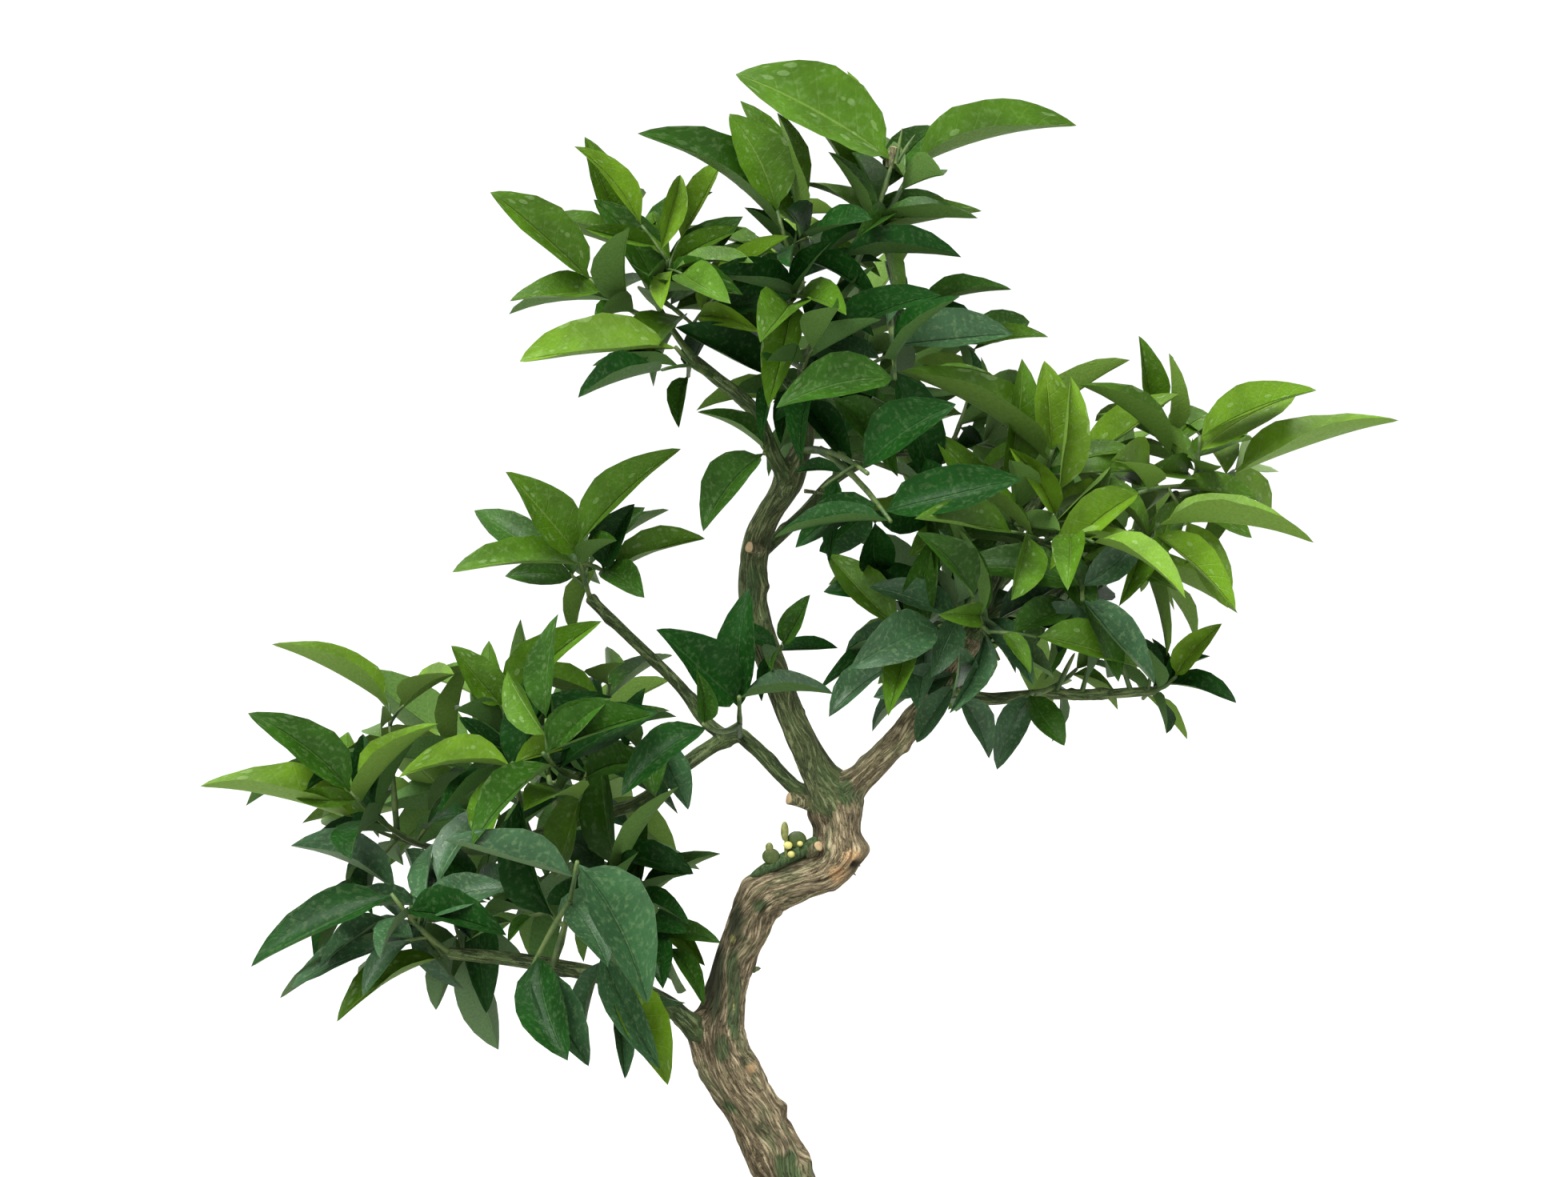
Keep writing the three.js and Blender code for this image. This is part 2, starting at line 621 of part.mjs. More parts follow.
// One leaf's place on its shoot. Leaves follow the spiral from the tip back, and lean away
// from the shoot the more the older they are. The face looks up and outwards.
function leafPlace(mass, seed, k, curve, i, nudge) {
  const shoot = mass.shoots[k];
  const key = seed + 10 * k;
  const run = curve.v0.distanceTo(curve.v2);
  const gap = Math.min(spacing.share * shoot.long, (spacing.mostOfRun * run) / shoot.leaves);
  const base = curve.getPoint(Math.max(1 - (spacing.first + i * gap) / run, spacing.nearest));
  const axis = curve.v2.clone().sub(curve.v1).normalize();
  const age = i / Math.max(shoot.leaves - 1, 1);
  const stray = vary.around * (chance(key, i + 1.1) - 0.5);
  const around = degree * (shoot.turn + spiral * i + stray + nudge);
  const lean = shoot.close + (shoot.open - shoot.close) * age ** vary.ageing;
  const away = degree * (lean + vary.lean * (chance(key, i + 2.2) - 0.5));
  const sideways = new THREE.Vector3().crossVectors(axis, new THREE.Vector3(0.3, 1, 0.1)).normalize();
  const other = new THREE.Vector3().crossVectors(axis, sideways);
  const along = axis.clone().multiplyScalar(Math.cos(away));
  along.addScaledVector(sideways, Math.sin(away) * Math.cos(around));
  along.addScaledVector(other, Math.sin(away) * Math.sin(around));
  along.addScaledVector(up, (droop.level - mass.hang) * (droop.young + droop.old * age)).normalize();
  const outward = new THREE.Vector3(facing.x * base.x, facing.y * base.y - facing.front, 0).normalize();
  const jitter = new THREE.Vector3(chance(key, i + 3.3) - 0.5, chance(key, i + 4.4) - 0.5, 0);
  const wish = axis.clone().multiplyScalar(facing.shoot).add(up).addScaledVector(outward, facing.outward);
  wish.addScaledVector(jitter, facing.jitter).normalize();
  const face = wish.clone().addScaledVector(along, -along.dot(wish));
  if (face.lengthSq() < facing.edgeOn) {
    face.copy(outward).addScaledVector(along, -along.dot(outward));
  }
  face.normalize();
  const pick = ([least, span], place) => least + span * chance(key, i + place);
  const leaf = {
    base, along, face, side: new THREE.Vector3().crossVectors(face, along),
    long: shoot.long * pick(leafRange.long, 5.5),
    wide: pick(leafRange.wide, 6.6),
    curl: pick(leafRange.curl, 7.7),
    fold: degree * pick(leafRange.fold, 8.8),
  };
  return shoot.aims && i < shoot.aims.length ? aimedLeaf(leaf, shoot.aims[i]) : leaf;
}

// A leaf that stands out of the crown: it ends at its own tip, and its face looks to the front,
// tilted up. The curl makes a bow of it over the straight line from foot to tip.
function aimedLeaf(leaf, [x, y, z, wide, tilt]) {
  const chord = new THREE.Vector3(x, y, z).sub(leaf.base);
  const ahead = chord.clone().normalize();
  const look = new THREE.Vector3(0, -Math.cos(degree * tilt), Math.sin(degree * tilt));
  look.addScaledVector(ahead, -look.dot(ahead)).normalize();
  const bow = Math.hypot(1, leaf.curl);
  const along = ahead.clone().addScaledVector(look, leaf.curl).divideScalar(bow);
  const face = look.clone().addScaledVector(ahead, -leaf.curl).divideScalar(bow);
  const side = new THREE.Vector3().crossVectors(face, along);
  return { ...leaf, along, face, side, wide, long: chord.length() / bow };
}

// A point of a leaf: a share of its length along it, across it from -1 to 1 at its widest
// place, and above its midrib in millimetres. The midrib curls back and the halves fold up.
function leafPoint(leaf, share, across = 0, above = 0) {
  const half = (leaf.wide * leaf.long) / 2;
  const rise = Math.abs(across) * half * Math.sin(leaf.fold) - share ** 2 * leaf.long * leaf.curl;
  return leaf.base.clone()
    .addScaledVector(leaf.along, share * leaf.long)
    .addScaledVector(leaf.side, across * half * Math.cos(leaf.fold))
    .addScaledVector(leaf.face, rise + above);
}

// The thin net that tells whether leaves cross: it leaves out the root, which lies in the twig
function leafNet(leaf) {
  const neck = leafPoint(leaf, blade.neck);
  const middle = leafPoint(leaf, blade.widest);
  const left = leafPoint(leaf, blade.widest, -1);
  const right = leafPoint(leaf, blade.widest, 1);
  const tip = leafPoint(leaf, 1);
  return {
    centre: middle,
    reach: blade.reach * leaf.long,
    corners: [neck, left, right, tip, middle],
    faces: [[neck, left, middle], [left, tip, middle], [tip, right, middle], [right, neck, middle]],
    edges: [[neck, left], [left, tip], [tip, right], [right, neck], [neck, middle], [middle, tip]],
  };
}

// Whether the line from a to b goes through the triangle
function pierces([a, b], [p, q, r]) {
  const line = b.clone().sub(a);
  const one = q.clone().sub(p);
  const two = r.clone().sub(p);
  const normal = new THREE.Vector3().crossVectors(line, two);
  const size = one.dot(normal);
  if (Math.abs(size) < 1e-9) return false;
  const from = a.clone().sub(p);
  const u = from.dot(normal) / size;
  const turned = new THREE.Vector3().crossVectors(from, one);
  const v = line.dot(turned) / size;
  const along = two.dot(turned) / size;
  return u >= 0 && v >= 0 && u + v <= 1 && along >= 0 && along <= 1;
}

function netsCross(a, b) {
  if (a.centre.distanceTo(b.centre) > a.reach + b.reach) return false;
  return a.edges.some((e) => b.faces.some((f) => pierces(e, f)))
    || b.edges.some((e) => a.faces.some((f) => pierces(e, f)));
}

// The leaf as a solid of 8 faces: an octahedron whose corners move to the leaf's ends,
// its sides, and the top and bottom of its midrib. Its root goes back through the twig.
function leafSolid(leaf) {
  const thick = (leaf.long * blade.thickness) / 2;
  const geometry = new THREE.OctahedronGeometry(1);
  const position = geometry.attributes.position;
  for (let i = 0; i < position.count; i++) {
    const [x, y, z] = [position.getX(i), position.getY(i), position.getZ(i)];
    let point = leafPoint(leaf, blade.widest, -x, z * thick);
    if (y > 0.5) point = leafPoint(leaf, 1);
    if (y < -0.5) point = leafPoint(leaf, -blade.root / leaf.long);
    position.setXYZ(i, point.x, point.y, point.z);
  }
  return toSolid(geometry);
}

function boxesMeet(a, b) {
  return [0, 1, 2].every((i) => a.min[i] < b.max[i] && b.min[i] < a.max[i]);
}

function touches(body, other) {
  return boxesMeet(body.box, other.box) && body.solid.intersect(other.solid).volume() > 1e-6;
}

function withBox(solid, rest = {}) {
  return { solid, box: solid.boundingBox(), ...rest };
}

// A twig's solid, thinner than the limb that it leaves
function twigSolid(curve, limbThere) {
  const wanted = twig.tip + twig.perLength * curve.getLength();
  const thick = Math.min(wanted, twig.most, twig.ofLimb * limbThere);
  return tube(curve, twig.sides, twig.rings, (along) => thick + (twig.tip - thick) * along);
}

// The crown: all the twigs first, then the leaves, the youngest of every shoot before the
// older ones. A leaf that would touch another leaf, a twig or a limb turns a little round
// its shoot, and is left out where no turn frees it.
function growCrown(limbBodies) {
  const spots = Object.values(limbs).flatMap((limb) => {
    const curve = limbCurve(limb);
    const places = Array.from({ length: limbMesh.spots + 1 }, (_, j) => j / limbMesh.spots);
    return places.map((along) => ({ point: curve.getPoint(along), radius: limbRadius(limb, along) }));
  });
  const crown = Object.entries(masses).map(([name, mass], order) => {
    const curves = shootCurves(mass, firstSeed + order);
    const limbThere = limbRadius(limbs[mass.start[0]], mass.start[1]);
    const twigs = curves.map((curve) => withBox(twigSolid(curve, limbThere), { name }));
    return { name, mass, seed: firstSeed + order, curves, twigs, leaves: [] };
  });
  const twigEdges = crown.flatMap(({ curves }) => curves.flatMap((curve) => {
    const points = curve.getPoints(twig.checks);
    return points.slice(1).map((point, j) => [points[j], point]);
  }));
  const twigBodies = crown.flatMap(({ twigs }) => twigs);
  const nets = [];
  const leafBodies = [];

  function isFree(net) {
    const middles = net.edges.map(([a, b]) => a.clone().add(b).multiplyScalar(0.5));
    const checked = [...net.corners, ...middles];
    const nearLimb = spots.some((spot) => checked.some(
      (point) => point.distanceTo(spot.point) < spot.radius + blade.clear));
    if (nearLimb) return false;
    if (twigEdges.some((edge) => net.faces.some((face) => pierces(edge, face)))) return false;
    return !nets.some((other) => netsCross(net, other));
  }

  function placeLeaf(part, k, i) {
    for (const nudge of turnsTried) {
      const leaf = leafPlace(part.mass, part.seed, k, part.curves[k], i, nudge);
      const net = leafNet(leaf);
      if (!isFree(net)) continue;
      nets.push(net);
      const body = withBox(leafSolid(leaf), { name: part.name, shoot: k });
      const others = [
        ...limbBodies,
        ...twigBodies.filter((other) => other.name !== part.name),
        ...leafBodies.filter((other) => other.name !== part.name || other.shoot !== k),
      ];
      if (others.some((other) => touches(body, other))) return;
      leafBodies.push(body);
      part.leaves.push(body.solid);
      return;
    }
  }

  const oldest = Math.max(...Object.values(masses).flatMap((mass) => mass.shoots.map((s) => s.leaves)));
  for (let i = 0; i < oldest; i++) {
    for (const part of crown) {
      part.mass.shoots.forEach((shoot, k) => {
        if (i < shoot.leaves) placeLeaf(part, k, i);
      });
    }
  }
  return crown;
}

// The pot

// The pot's outline moved in from the lip, as points: a quarter circle round each corner
function outlineRing(inset) {
  const corner = Math.max(potSize.corner - inset, potSize.leastCorner);
  const halfX = potSize.length / 2 - inset - corner;
  const halfY = potSize.depth / 2 - inset - corner;
  const corners = [[1, 1], [-1, 1], [-1, -1], [1, -1]];
  return corners.flatMap(([right, back], quarter) => (
    Array.from({ length: potSize.cornerSteps + 1 }, (_, j) => {
      const angle = ((quarter + j / potSize.cornerSteps) * Math.PI) / 2;
      return [right * halfX + corner * Math.cos(angle), back * halfY + corner * Math.sin(angle)];
    })
  ));
}

// A closed block whose outline follows the pot's, given as [height, inset] from the bottom up:
// a cylinder whose rows move to those outlines
function potBlock(levels) {
  const sides = 4 * (potSize.cornerSteps + 1);
  const rows = levels.length - 1;
  const rings = levels.map(([, inset]) => outlineRing(inset));
  const geometry = new THREE.CylinderGeometry(1, 1, 1, sides, rows);
  const position = geometry.attributes.position;
  for (let i = 0; i < position.count; i++) {
    const x = position.getX(i);
    const y = -position.getZ(i);
    const row = Math.round((position.getY(i) + 0.5) * rows);
    const turn = (Math.round((Math.atan2(y, x) / (2 * Math.PI)) * sides) + sides) % sides;
    const isMiddle = Math.hypot(x, y) < 0.5;
    const [outX, outY] = isMiddle ? [0, 0] : rings[row][turn];
    position.setXYZ(i, outX, outY, levels[row][0]);
  }
  return toSolid(geometry);
}

// The cavity's inset at a height, from the floor to the lip
function cavityInset(height) {
  const share = (height - cavity.floor) / (potSize.height - cavity.floor);
  return cavity.low + (cavity.high - cavity.low) * share;
}

// The wall and lip, hollowed, with a gap in the foot on each side and two drain holes
function potSolid() {
  const lipBottom = potSize.height - potWall.lipHeight;
  const body = potBlock([
    [0, potFoot.inset],
    [potFoot.height, potFoot.inset],
    [potFoot.height + potFoot.slope, potWall.low],
    [lipBottom, potWall.high],
    [lipBottom + potWall.lipSlope, 0],
    [potSize.height - potWall.chamfer, 0],
    [potSize.height, potWall.chamfer],
  ]);
  const over = potSize.height + 1;
  let pot = body.subtract(potBlock([[cavity.floor, cavity.low], [over, cavityInset(over)]]));
  for (const side of [-1, 1]) {
    const hole = new THREE.CylinderGeometry(drain.radius, drain.radius, 4 * cavity.floor, drain.sides);
    hole.rotateX(Math.PI / 2).translate((side * drain.apart) / 2, 0, 0);
    const front = new THREE.BoxGeometry(footGap.front, 2 * footGap.depth, 2 * footGap.height);
    front.translate(0, side * (potSize.depth / 2 - potFoot.inset), 0);
    const end = new THREE.BoxGeometry(2 * footGap.depth, footGap.side, 2 * footGap.height);
    end.translate(side * (potSize.length / 2 - potFoot.inset), 0, 0);
    for (const cut of [hole, front, end]) pot = pot.subtract(toSolid(cut));
  }
  return pot;
}

// How high the soil is at a place: up the mound by how far in from the wall the place lies
function soilHeight(x, y) {
  const inset = Math.min(potSize.length / 2 - Math.abs(x), potSize.depth / 2 - Math.abs(y));
  const rows = [[cavityInset(soil.edge), 0], ...soil.mound];
  const next = rows.findIndex(([row]) => row > inset);
  if (next < 0) return soil.top;
  const [[low, from], [high, to]] = [rows[next - 1], rows[next]];
  const share = from + ((to - from) * (inset - low)) / (high - low);
  return soil.edge + (soil.top - soil.edge) * share;
}

// The places of the clods: the crossings of a net, each moved a little, clear of wall and trunk
function clodPlaces() {
  const [countX, countY] = [potSize.length, potSize.depth].map((side) => Math.floor(side / 2 / clod.apart));
  const places = [];
  for (let i = -countX; i <= countX; i++) {
    for (let j = -countY; j <= countY; j++) {
      const x = (i + clod.astray * (chance(clod.seed, i + 0.37 * j) - 0.5)) * clod.apart;
      const y = (j + clod.astray * (chance(clod.seed, j + 0.61 * i + 50) - 0.5)) * clod.apart;
      const isInside = Math.abs(x) < potSize.length / 2 - clod.fromWall
        && Math.abs(y) < potSize.depth / 2 - clod.fromWall;
      const [trunkX, trunkY] = limbs.trunk.course[0];
      if (isInside && Math.hypot(x - trunkX, y - trunkY) > clod.fromTrunk) places.push([x, y]);
    }
  }
  return places;
}

function soilSolid() {
  const low = cavity.floor + clearance;
  const rise = soil.top - soil.edge;
  let ground = potBlock([
    [low, cavityInset(low) + clearance],
    [soil.edge, cavityInset(soil.edge) + clearance],
    ...soil.mound.map(([inset, share]) => [soil.edge + rise * share, inset]),
  ]);
  for (const [x, y] of clodPlaces()) {
    const lump = new THREE.OctahedronGeometry(clod.radius);
    lump.rotateZ(Math.PI * chance(clod.seed, x));
    lump.scale(1, 1, clod.flatness);
    lump.translate(x, y, soilHeight(x, y) - clod.sunk);
    ground = ground.add(toSolid(lump));
  }
  return ground;
}

// The finishes, and the whole plant

const finishes = {
  pot: new THREE.MeshStandardMaterial({ color: 0x4a342a, roughness: 0.6, metalness: 0 }),
  soil: new THREE.MeshStandardMaterial({ color: 0x3b2d22, roughness: 0.95, metalness: 0 }),
  bark: new THREE.MeshStandardMaterial({ color: 0x7f735a, roughness: 0.85, metalness: 0 }),
  youngBark: new THREE.MeshStandardMaterial({ color: 0x5f6b45, roughness: 0.75, metalness: 0 }),
  leaf: new THREE.MeshStandardMaterial({ color: 0x4a7a1e, roughness: 0.4, metalness: 0 }),
};

const bonsai = new THREE.Group();
bonsai.add(toMesh('pot', potSolid(), finishes.pot));
bonsai.add(toMesh('soil', soilSolid(), finishes.soil));

// The trunk starts in the soil, and is cut flat a clearance above it
const below = new THREE.BoxGeometry(potSize.depth, potSize.depth, soil.top);
below.translate(0, 0, soil.top / 2 + clearance);
const limbBodies = [];
for (const [name, limb] of Object.entries(limbs)) {
  let wood = limb.start ? limbSolid(limb) : limbSolid(limb).subtract(toSolid(below));
  for (const earlier of limbBodies) {
    if (boxesMeet(wood.boundingBox(), earlier.box)) wood = wood.subtract(earlier.solid);
  }
  limbBodies.push(withBox(limbSolid(limb, clearance), { name }));
  bonsai.add(toMesh(name, wood, limb.radius[0] > oldBark ? finishes.bark : finishes.youngBark));
}

for (const part of growCrown(limbBodies)) {
  let foliage = wasm.Manifold.union([...part.twigs.map((body) => body.solid), ...part.leaves]);
  for (const limb of limbBodies) {
    if (boxesMeet(foliage.boundingBox(), limb.box)) foliage = foliage.subtract(limb.solid);
  }
  bonsai.add(toMesh(part.name, foliage, finishes.leaf));
}

export default bonsai;
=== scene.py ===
# Myrtle-leaf orange bonsai: bark, twigs, leaves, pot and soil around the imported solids.
# Lengths are in millimetres until a mesh is made. The front of the tree faces -Y.
import math
import bpy
import numpy as np
from mathutils.geometry import tessellate_polygon
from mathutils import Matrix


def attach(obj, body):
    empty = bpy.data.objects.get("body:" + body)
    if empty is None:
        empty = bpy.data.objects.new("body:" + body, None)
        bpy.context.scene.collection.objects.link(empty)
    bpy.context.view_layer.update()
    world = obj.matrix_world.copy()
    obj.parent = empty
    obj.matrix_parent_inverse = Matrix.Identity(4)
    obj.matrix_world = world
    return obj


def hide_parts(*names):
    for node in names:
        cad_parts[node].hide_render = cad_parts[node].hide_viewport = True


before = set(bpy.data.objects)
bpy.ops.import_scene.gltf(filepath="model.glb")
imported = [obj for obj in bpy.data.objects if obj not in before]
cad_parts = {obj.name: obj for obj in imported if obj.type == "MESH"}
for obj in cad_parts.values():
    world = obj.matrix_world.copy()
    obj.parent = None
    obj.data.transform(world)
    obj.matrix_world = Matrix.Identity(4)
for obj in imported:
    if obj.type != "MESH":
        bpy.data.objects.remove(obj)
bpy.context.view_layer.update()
print("solids loaded:", len(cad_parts))

mm = 0.001
up = np.array([0.0, 0.0, 1.0])

# How the photograph maps to the tree: 3.8 pixels to the millimetre in the plane of the trunk
photo = dict(width=1960, height=1471, pixelsPerMm=3.8, middleX=998.0, lowestY=1471.0, lowestZ=107.0)
view = dict(away=900.0, x=-4.7, z=300.6, sensor=36.0)


def placeInPhoto(pixelX, pixelY):
    x = (pixelX - photo["middleX"]) / photo["pixelsPerMm"]
    return x, photo["lowestZ"] + (photo["lowestY"] - pixelY) / photo["pixelsPerMm"]


def putInScene(name, data):
    made = bpy.data.objects.new(name, data)
    bpy.context.scene.collection.objects.link(made)
    return made


def setCamera():
    data = bpy.data.cameras.new("frontCamera")
    data.sensor_width = view["sensor"]
    data.lens = view["sensor"] * view["away"] * photo["pixelsPerMm"] / photo["width"]
    camera = putInScene("frontCamera", data)
    camera.location = (view["x"] * mm, -view["away"] * mm, view["z"] * mm)
    camera.rotation_euler = (math.pi / 2, 0, 0)
    bpy.context.scene.camera = camera


setCamera()

# Finishes


# A value on its way through the nodes of a finish: sums and products of it add Math nodes
class Value:
    def __init__(self, finish, socket):
        self.finish = finish
        self.socket = socket

    def math(self, operation, first, second=0.0):
        return self.finish.node("ShaderNodeMath", {"operation": operation}, {0: first, 1: second})

    def __add__(self, other):
        return self.math("ADD", self, other)

    def __sub__(self, other):
        return self.math("SUBTRACT", self, other)

    def __rsub__(self, other):
        return self.math("SUBTRACT", other, self)

    def __mul__(self, other):
        return self.math("MULTIPLY", self, other)

    def __abs__(self):
        return self.math("ABSOLUTE", self)

    def fraction(self):
        return self.math("FRACT", self)

    # 0 below the first number, 1 above the second, smooth between them
    def between(self, low, high):
        settings = {"interpolation_type": "SMOOTHSTEP"}
        return self.finish.node("ShaderNodeMapRange", settings, {0: self, 1: low, 2: high})

    __radd__ = __add__
    __rmul__ = __mul__


# A material with one Principled shader, and one method that adds any node
class Finish:
    def __init__(self, name, roughness, gloss=0.5):
        self.material = bpy.data.materials.new(name)
        self.material.use_nodes = True
        self.nodes = self.material.node_tree.nodes
        self.links = self.material.node_tree.links
        self.shader = self.nodes["Principled BSDF"]
        self.shader.inputs["Roughness"].default_value = roughness
        self.shader.inputs["Specular IOR Level"].default_value = gloss

    def node(self, kind, settings=None, sockets=None, output=0):
        made = self.nodes.new(kind)
        for key, value in (settings or {}).items():
            setattr(made, key, value)
        for key, value in (sockets or {}).items():
            if isinstance(value, Value):
                self.links.new(value.socket, made.inputs[key])
            else:
                made.inputs[key].default_value = value
        return Value(self, made.outputs[output])

    def feed(self, socket, value):
        self.links.new(value.socket, self.shader.inputs[socket])

    # The first colour where the share is 0, the second where it is 1
    def mix(self, share, first, second):
        first, second = (color if isinstance(color, Value) else (*color, 1.0) for color in (first, second))
        return self.node("ShaderNodeMix", {"data_type": "RGBA"}, {0: share, 6: first, 7: second}, 2)

    def noise(self, where, scale, detail, roughness=0.55):
        sockets = {"Vector": where, "Scale": scale, "Detail": detail, "Roughness": roughness}
        return self.node("ShaderNodeTexNoise", None, sockets)

    def place(self):
        return self.node("ShaderNodeTexCoord", output=3)

    def axis(self, vector, which):
        return self.node("ShaderNodeSeparateXYZ", None, {0: vector}, which)

    def scaled(self, vector, scales):
        return self.node("ShaderNodeVectorMath", {"operation": "MULTIPLY"}, {0: vector, 1: scales})

    # A piece's own numbers, one for each of its points, or vectors with output 1
    def attribute(self, name, output=2):
        return self.node("ShaderNodeAttribute", {"attribute_name": name}, output=output)

    def bump(self, height, distance, strength):
        sockets = {"Height": height, "Distance": distance, "Strength": strength}
        self.feed("Normal", self.node("ShaderNodeBump", None, sockets))


def linear(red, green, blue):
    share = np.array([red, green, blue]) / 255.0
    return tuple(np.where(share < 0.04045, share / 12.92, ((share + 0.055) / 1.055) ** 2.4))


def shaded(color, factor):
    return tuple(part * factor for part in color)


# A leaf pattern in its own flat map of four cells, each with the upper side on the left half
# and the underside on the right: a paler midrib, side veins and rim, small pale spots of painted
# highlight where water drops sit, in some of the cells of a net, and a fine grain
leafPattern = dict(
    midrib=0.035, veins=8.0, slant=1.6, veinWidth=0.14, rim=0.11, drops=(35.0, 22.0, 1.0),
    dropEdge=(0.36, 0.46), cloud=5.0, cloudEdge=(0.3, 0.7), dull=0.74, bright=1.24,
    speckle=42.0, speckleEdge=(0.48, 0.68), grain=90.0, grainEdge=(0.35, 0.75), pale=linear(150, 176, 122),
)


def leafFinish(name, upper, under, rib, rim, roughness, gloss, veined, mottled, dropHighlight):
    pattern = leafPattern
    upper, under, rib, rim = (linear(*color) for color in (upper, under, rib, rim))
    finish = Finish(name, roughness, gloss)
    flat = finish.node("ShaderNodeUVMap", {"uv_map": "OFBake"})
    half = (finish.axis(flat, 0) * 2.0).fraction()
    isUnder = half.between(0.499, 0.501)
    along = (finish.axis(flat, 1) * 2.0).fraction()
    side = abs((half * 2.0).fraction() - 0.5) * 2.0
    midrib = 1.0 - side.between(pattern["midrib"] * 0.3, pattern["midrib"] * 1.8)
    wave = abs(((along * pattern["veins"] - side * pattern["slant"]).fraction() - 0.5) * 2.0)
    veins = wave.between(1.0 - pattern["veinWidth"], 1.0) * (1.0 - side * 0.6)
    edge = side.between(1.0 - pattern["rim"], 1.0)
    net = {"Vector": finish.scaled(flat, pattern["drops"]), "Scale": 1.0}
    far, cell = (finish.node("ShaderNodeTexVoronoi", None, net, output) for output in (0, 1))
    # Water drops: spots painted pale as their highlight, and smoother
    drop = 1.0 - (far + finish.axis(cell, 0) * 0.7).between(*pattern["dropEdge"])
    speckle = finish.noise(flat, pattern["speckle"], 4.0).between(*pattern["speckleEdge"])
    cloud = finish.noise(flat, pattern["cloud"], 2.0)
    grain = finish.noise(flat, pattern["grain"], 3.0)
    tones = shaded(upper, pattern["dull"]), shaded(upper, pattern["bright"])
    face = finish.mix(cloud.between(*pattern["cloudEdge"]), *tones)
    face = finish.mix(veins * veined, face, rib)
    face = finish.mix(midrib * 0.5, face, rib)
    face = finish.mix(speckle * mottled, face, pattern["pale"])
    # The drops' painted highlight
    face = finish.mix(drop * dropHighlight, face, pattern["pale"])
    face = finish.mix(edge * 0.7, face, rim)
    back = finish.mix(cloud * 0.5 + veins * 0.4, under, shaded(under, 1.3))
    back = finish.mix(midrib * 0.7, back, shaded(under, 1.6))
    color = finish.mix(isUnder, face, back)
    grained = grain.between(*pattern["grainEdge"]) * 0.3
    finish.feed("Base Color", finish.mix(grained, color, shaded(upper, 0.55)))
    finish.feed("Roughness", isUnder * 0.25 + grain * 0.2 - drop * 0.1 + (roughness - 0.1))
    finish.bump(midrib * -0.7 - veins * veined + grain * 0.25 + drop * 0.15, 0.5 * mm, 0.7)
    return finish.material


# The tree: limbs with their course, and masses of leaves with the tips of their shoots


# A limb starts a share of the way along another. It has a radius at its foot and at its tip, thins
# by a power, and may flare at the foot and swell: share of the way, millimetres and spread of each.
def limb(start, radius, *course, taper=1, flare=0, swell=()):
    return dict(start=start, radius=radius, course=course, taper=taper, flare=flare, swell=swell)


limbs = {
    "trunk": limb(
        None, (10.2, 6.2), (12, 0, 55), (1, -1, 93), (-13, -1, 125), (-25, 1, 147), (-25, 2, 163),
        (-19, 0, 184), (-11.5, -2, 199.5), (0, -3, 205), (11, -3, 211), (12.8, -1, 221), (12, 0, 230),
        taper=0.8, flare=8,
        swell=(
            (0.973, 2.0, 0.11), (0.306, 0.8, 0.07), (0.43, -1.0, 0.06), (0.6, 1.0, 0.05),
            (0.82, 1.2, 0.05),
        ),
    ),
    "leader": limb(
        ("trunk", 1.0), (5.2, 2.2), (1, 1, 251), (-8, 3, 274), (-15, 4, 297), (-13, 3, 318), (-3, 1, 336),
        (2, -1, 351), (2, -3, 368), (8, -3, 385), (17, -5, 403), taper=1.6,
        swell=((0.0, 2.4, 0.06), (0.56, 0.9, 0.04)),
    ),
    "bough_right": limb(
        ("trunk", 1.0), (5.6, 3.5), (20, -2, 238), (37, -12, 257), (48, -20, 272), (55, -24, 284),
    ),
    "bough_right_upper": limb(
        ("bough_right", 1.0), (3.1, 2.0), (61, -20, 299), (68, -16, 315), (78, -14, 330),
    ),
    "bough_right_outer": limb(
        ("bough_right", 0.97), (2.9, 1.6), (63, -24, 292), (75, -22, 298), (91, -18, 306),
        (105, -14, 312), (118, -10, 324), (123, -8, 331),
    ),
    "bough_low_right": limb(
        ("bough_right", 0.7), (2.1, 1.4), (60, -14, 265), (79, -6, 266), (100, -4, 266), (116, -4, 267),
    ),
    "bough_back_right": limb(
        ("bough_right", 0.52), (2.9, 1.8), (46, 8, 270), (56, 30, 286), (70, 48, 302), (81, 58, 313),
    ),
    "bough_lower_left": limb(
        ("trunk", 0.342), (4.3, 1.9), (-33, -1, 155), (-43, -8, 165), (-61, -18, 175), (-87, -23, 181),
        (-111, -25, 184),
    ),
    "bough_mid_left": limb(
        ("trunk", 1.0), (2.6, 1.9), (0, 4, 234), (-15, 14, 248), (-22, 17, 251), (-37, 20, 242),
        (-53, 22, 229), (-75, 24, 222), (-102, 22, 212),
    ),
    "bough_isolated": limb(
        ("bough_mid_left", 0.45), (1.9, 1.3), (-32, 19, 257), (-40, 20, 268), (-56, 16, 284),
        (-69, 10, 297),
    ),
    "bough_upper_left": limb(
        ("leader", 0.55), (2.9, 1.9), (-9, -8, 346), (-15, -14, 359), (-27, -16, 369), (-33, -16, 374),
    ),
    "bough_center": limb(
        ("leader", 0.4), (2.2, 1.6), (1, 20, 325), (13, 30, 338), (31, 38, 347), (50, 44, 345),
    ),
}


# A shoot ends at its tip and carries leaves of one length in a spiral: the turn of the first round
# it, how far the youngest lean away and how far the oldest. The leaves that make the outline of
# the crown come first, each with its tip seen from the front, width by length, tilt up and tone.
# Their tips stand before the shoot's own, each a little further than the last.
aimDepth = dict(first=5, apart=4)


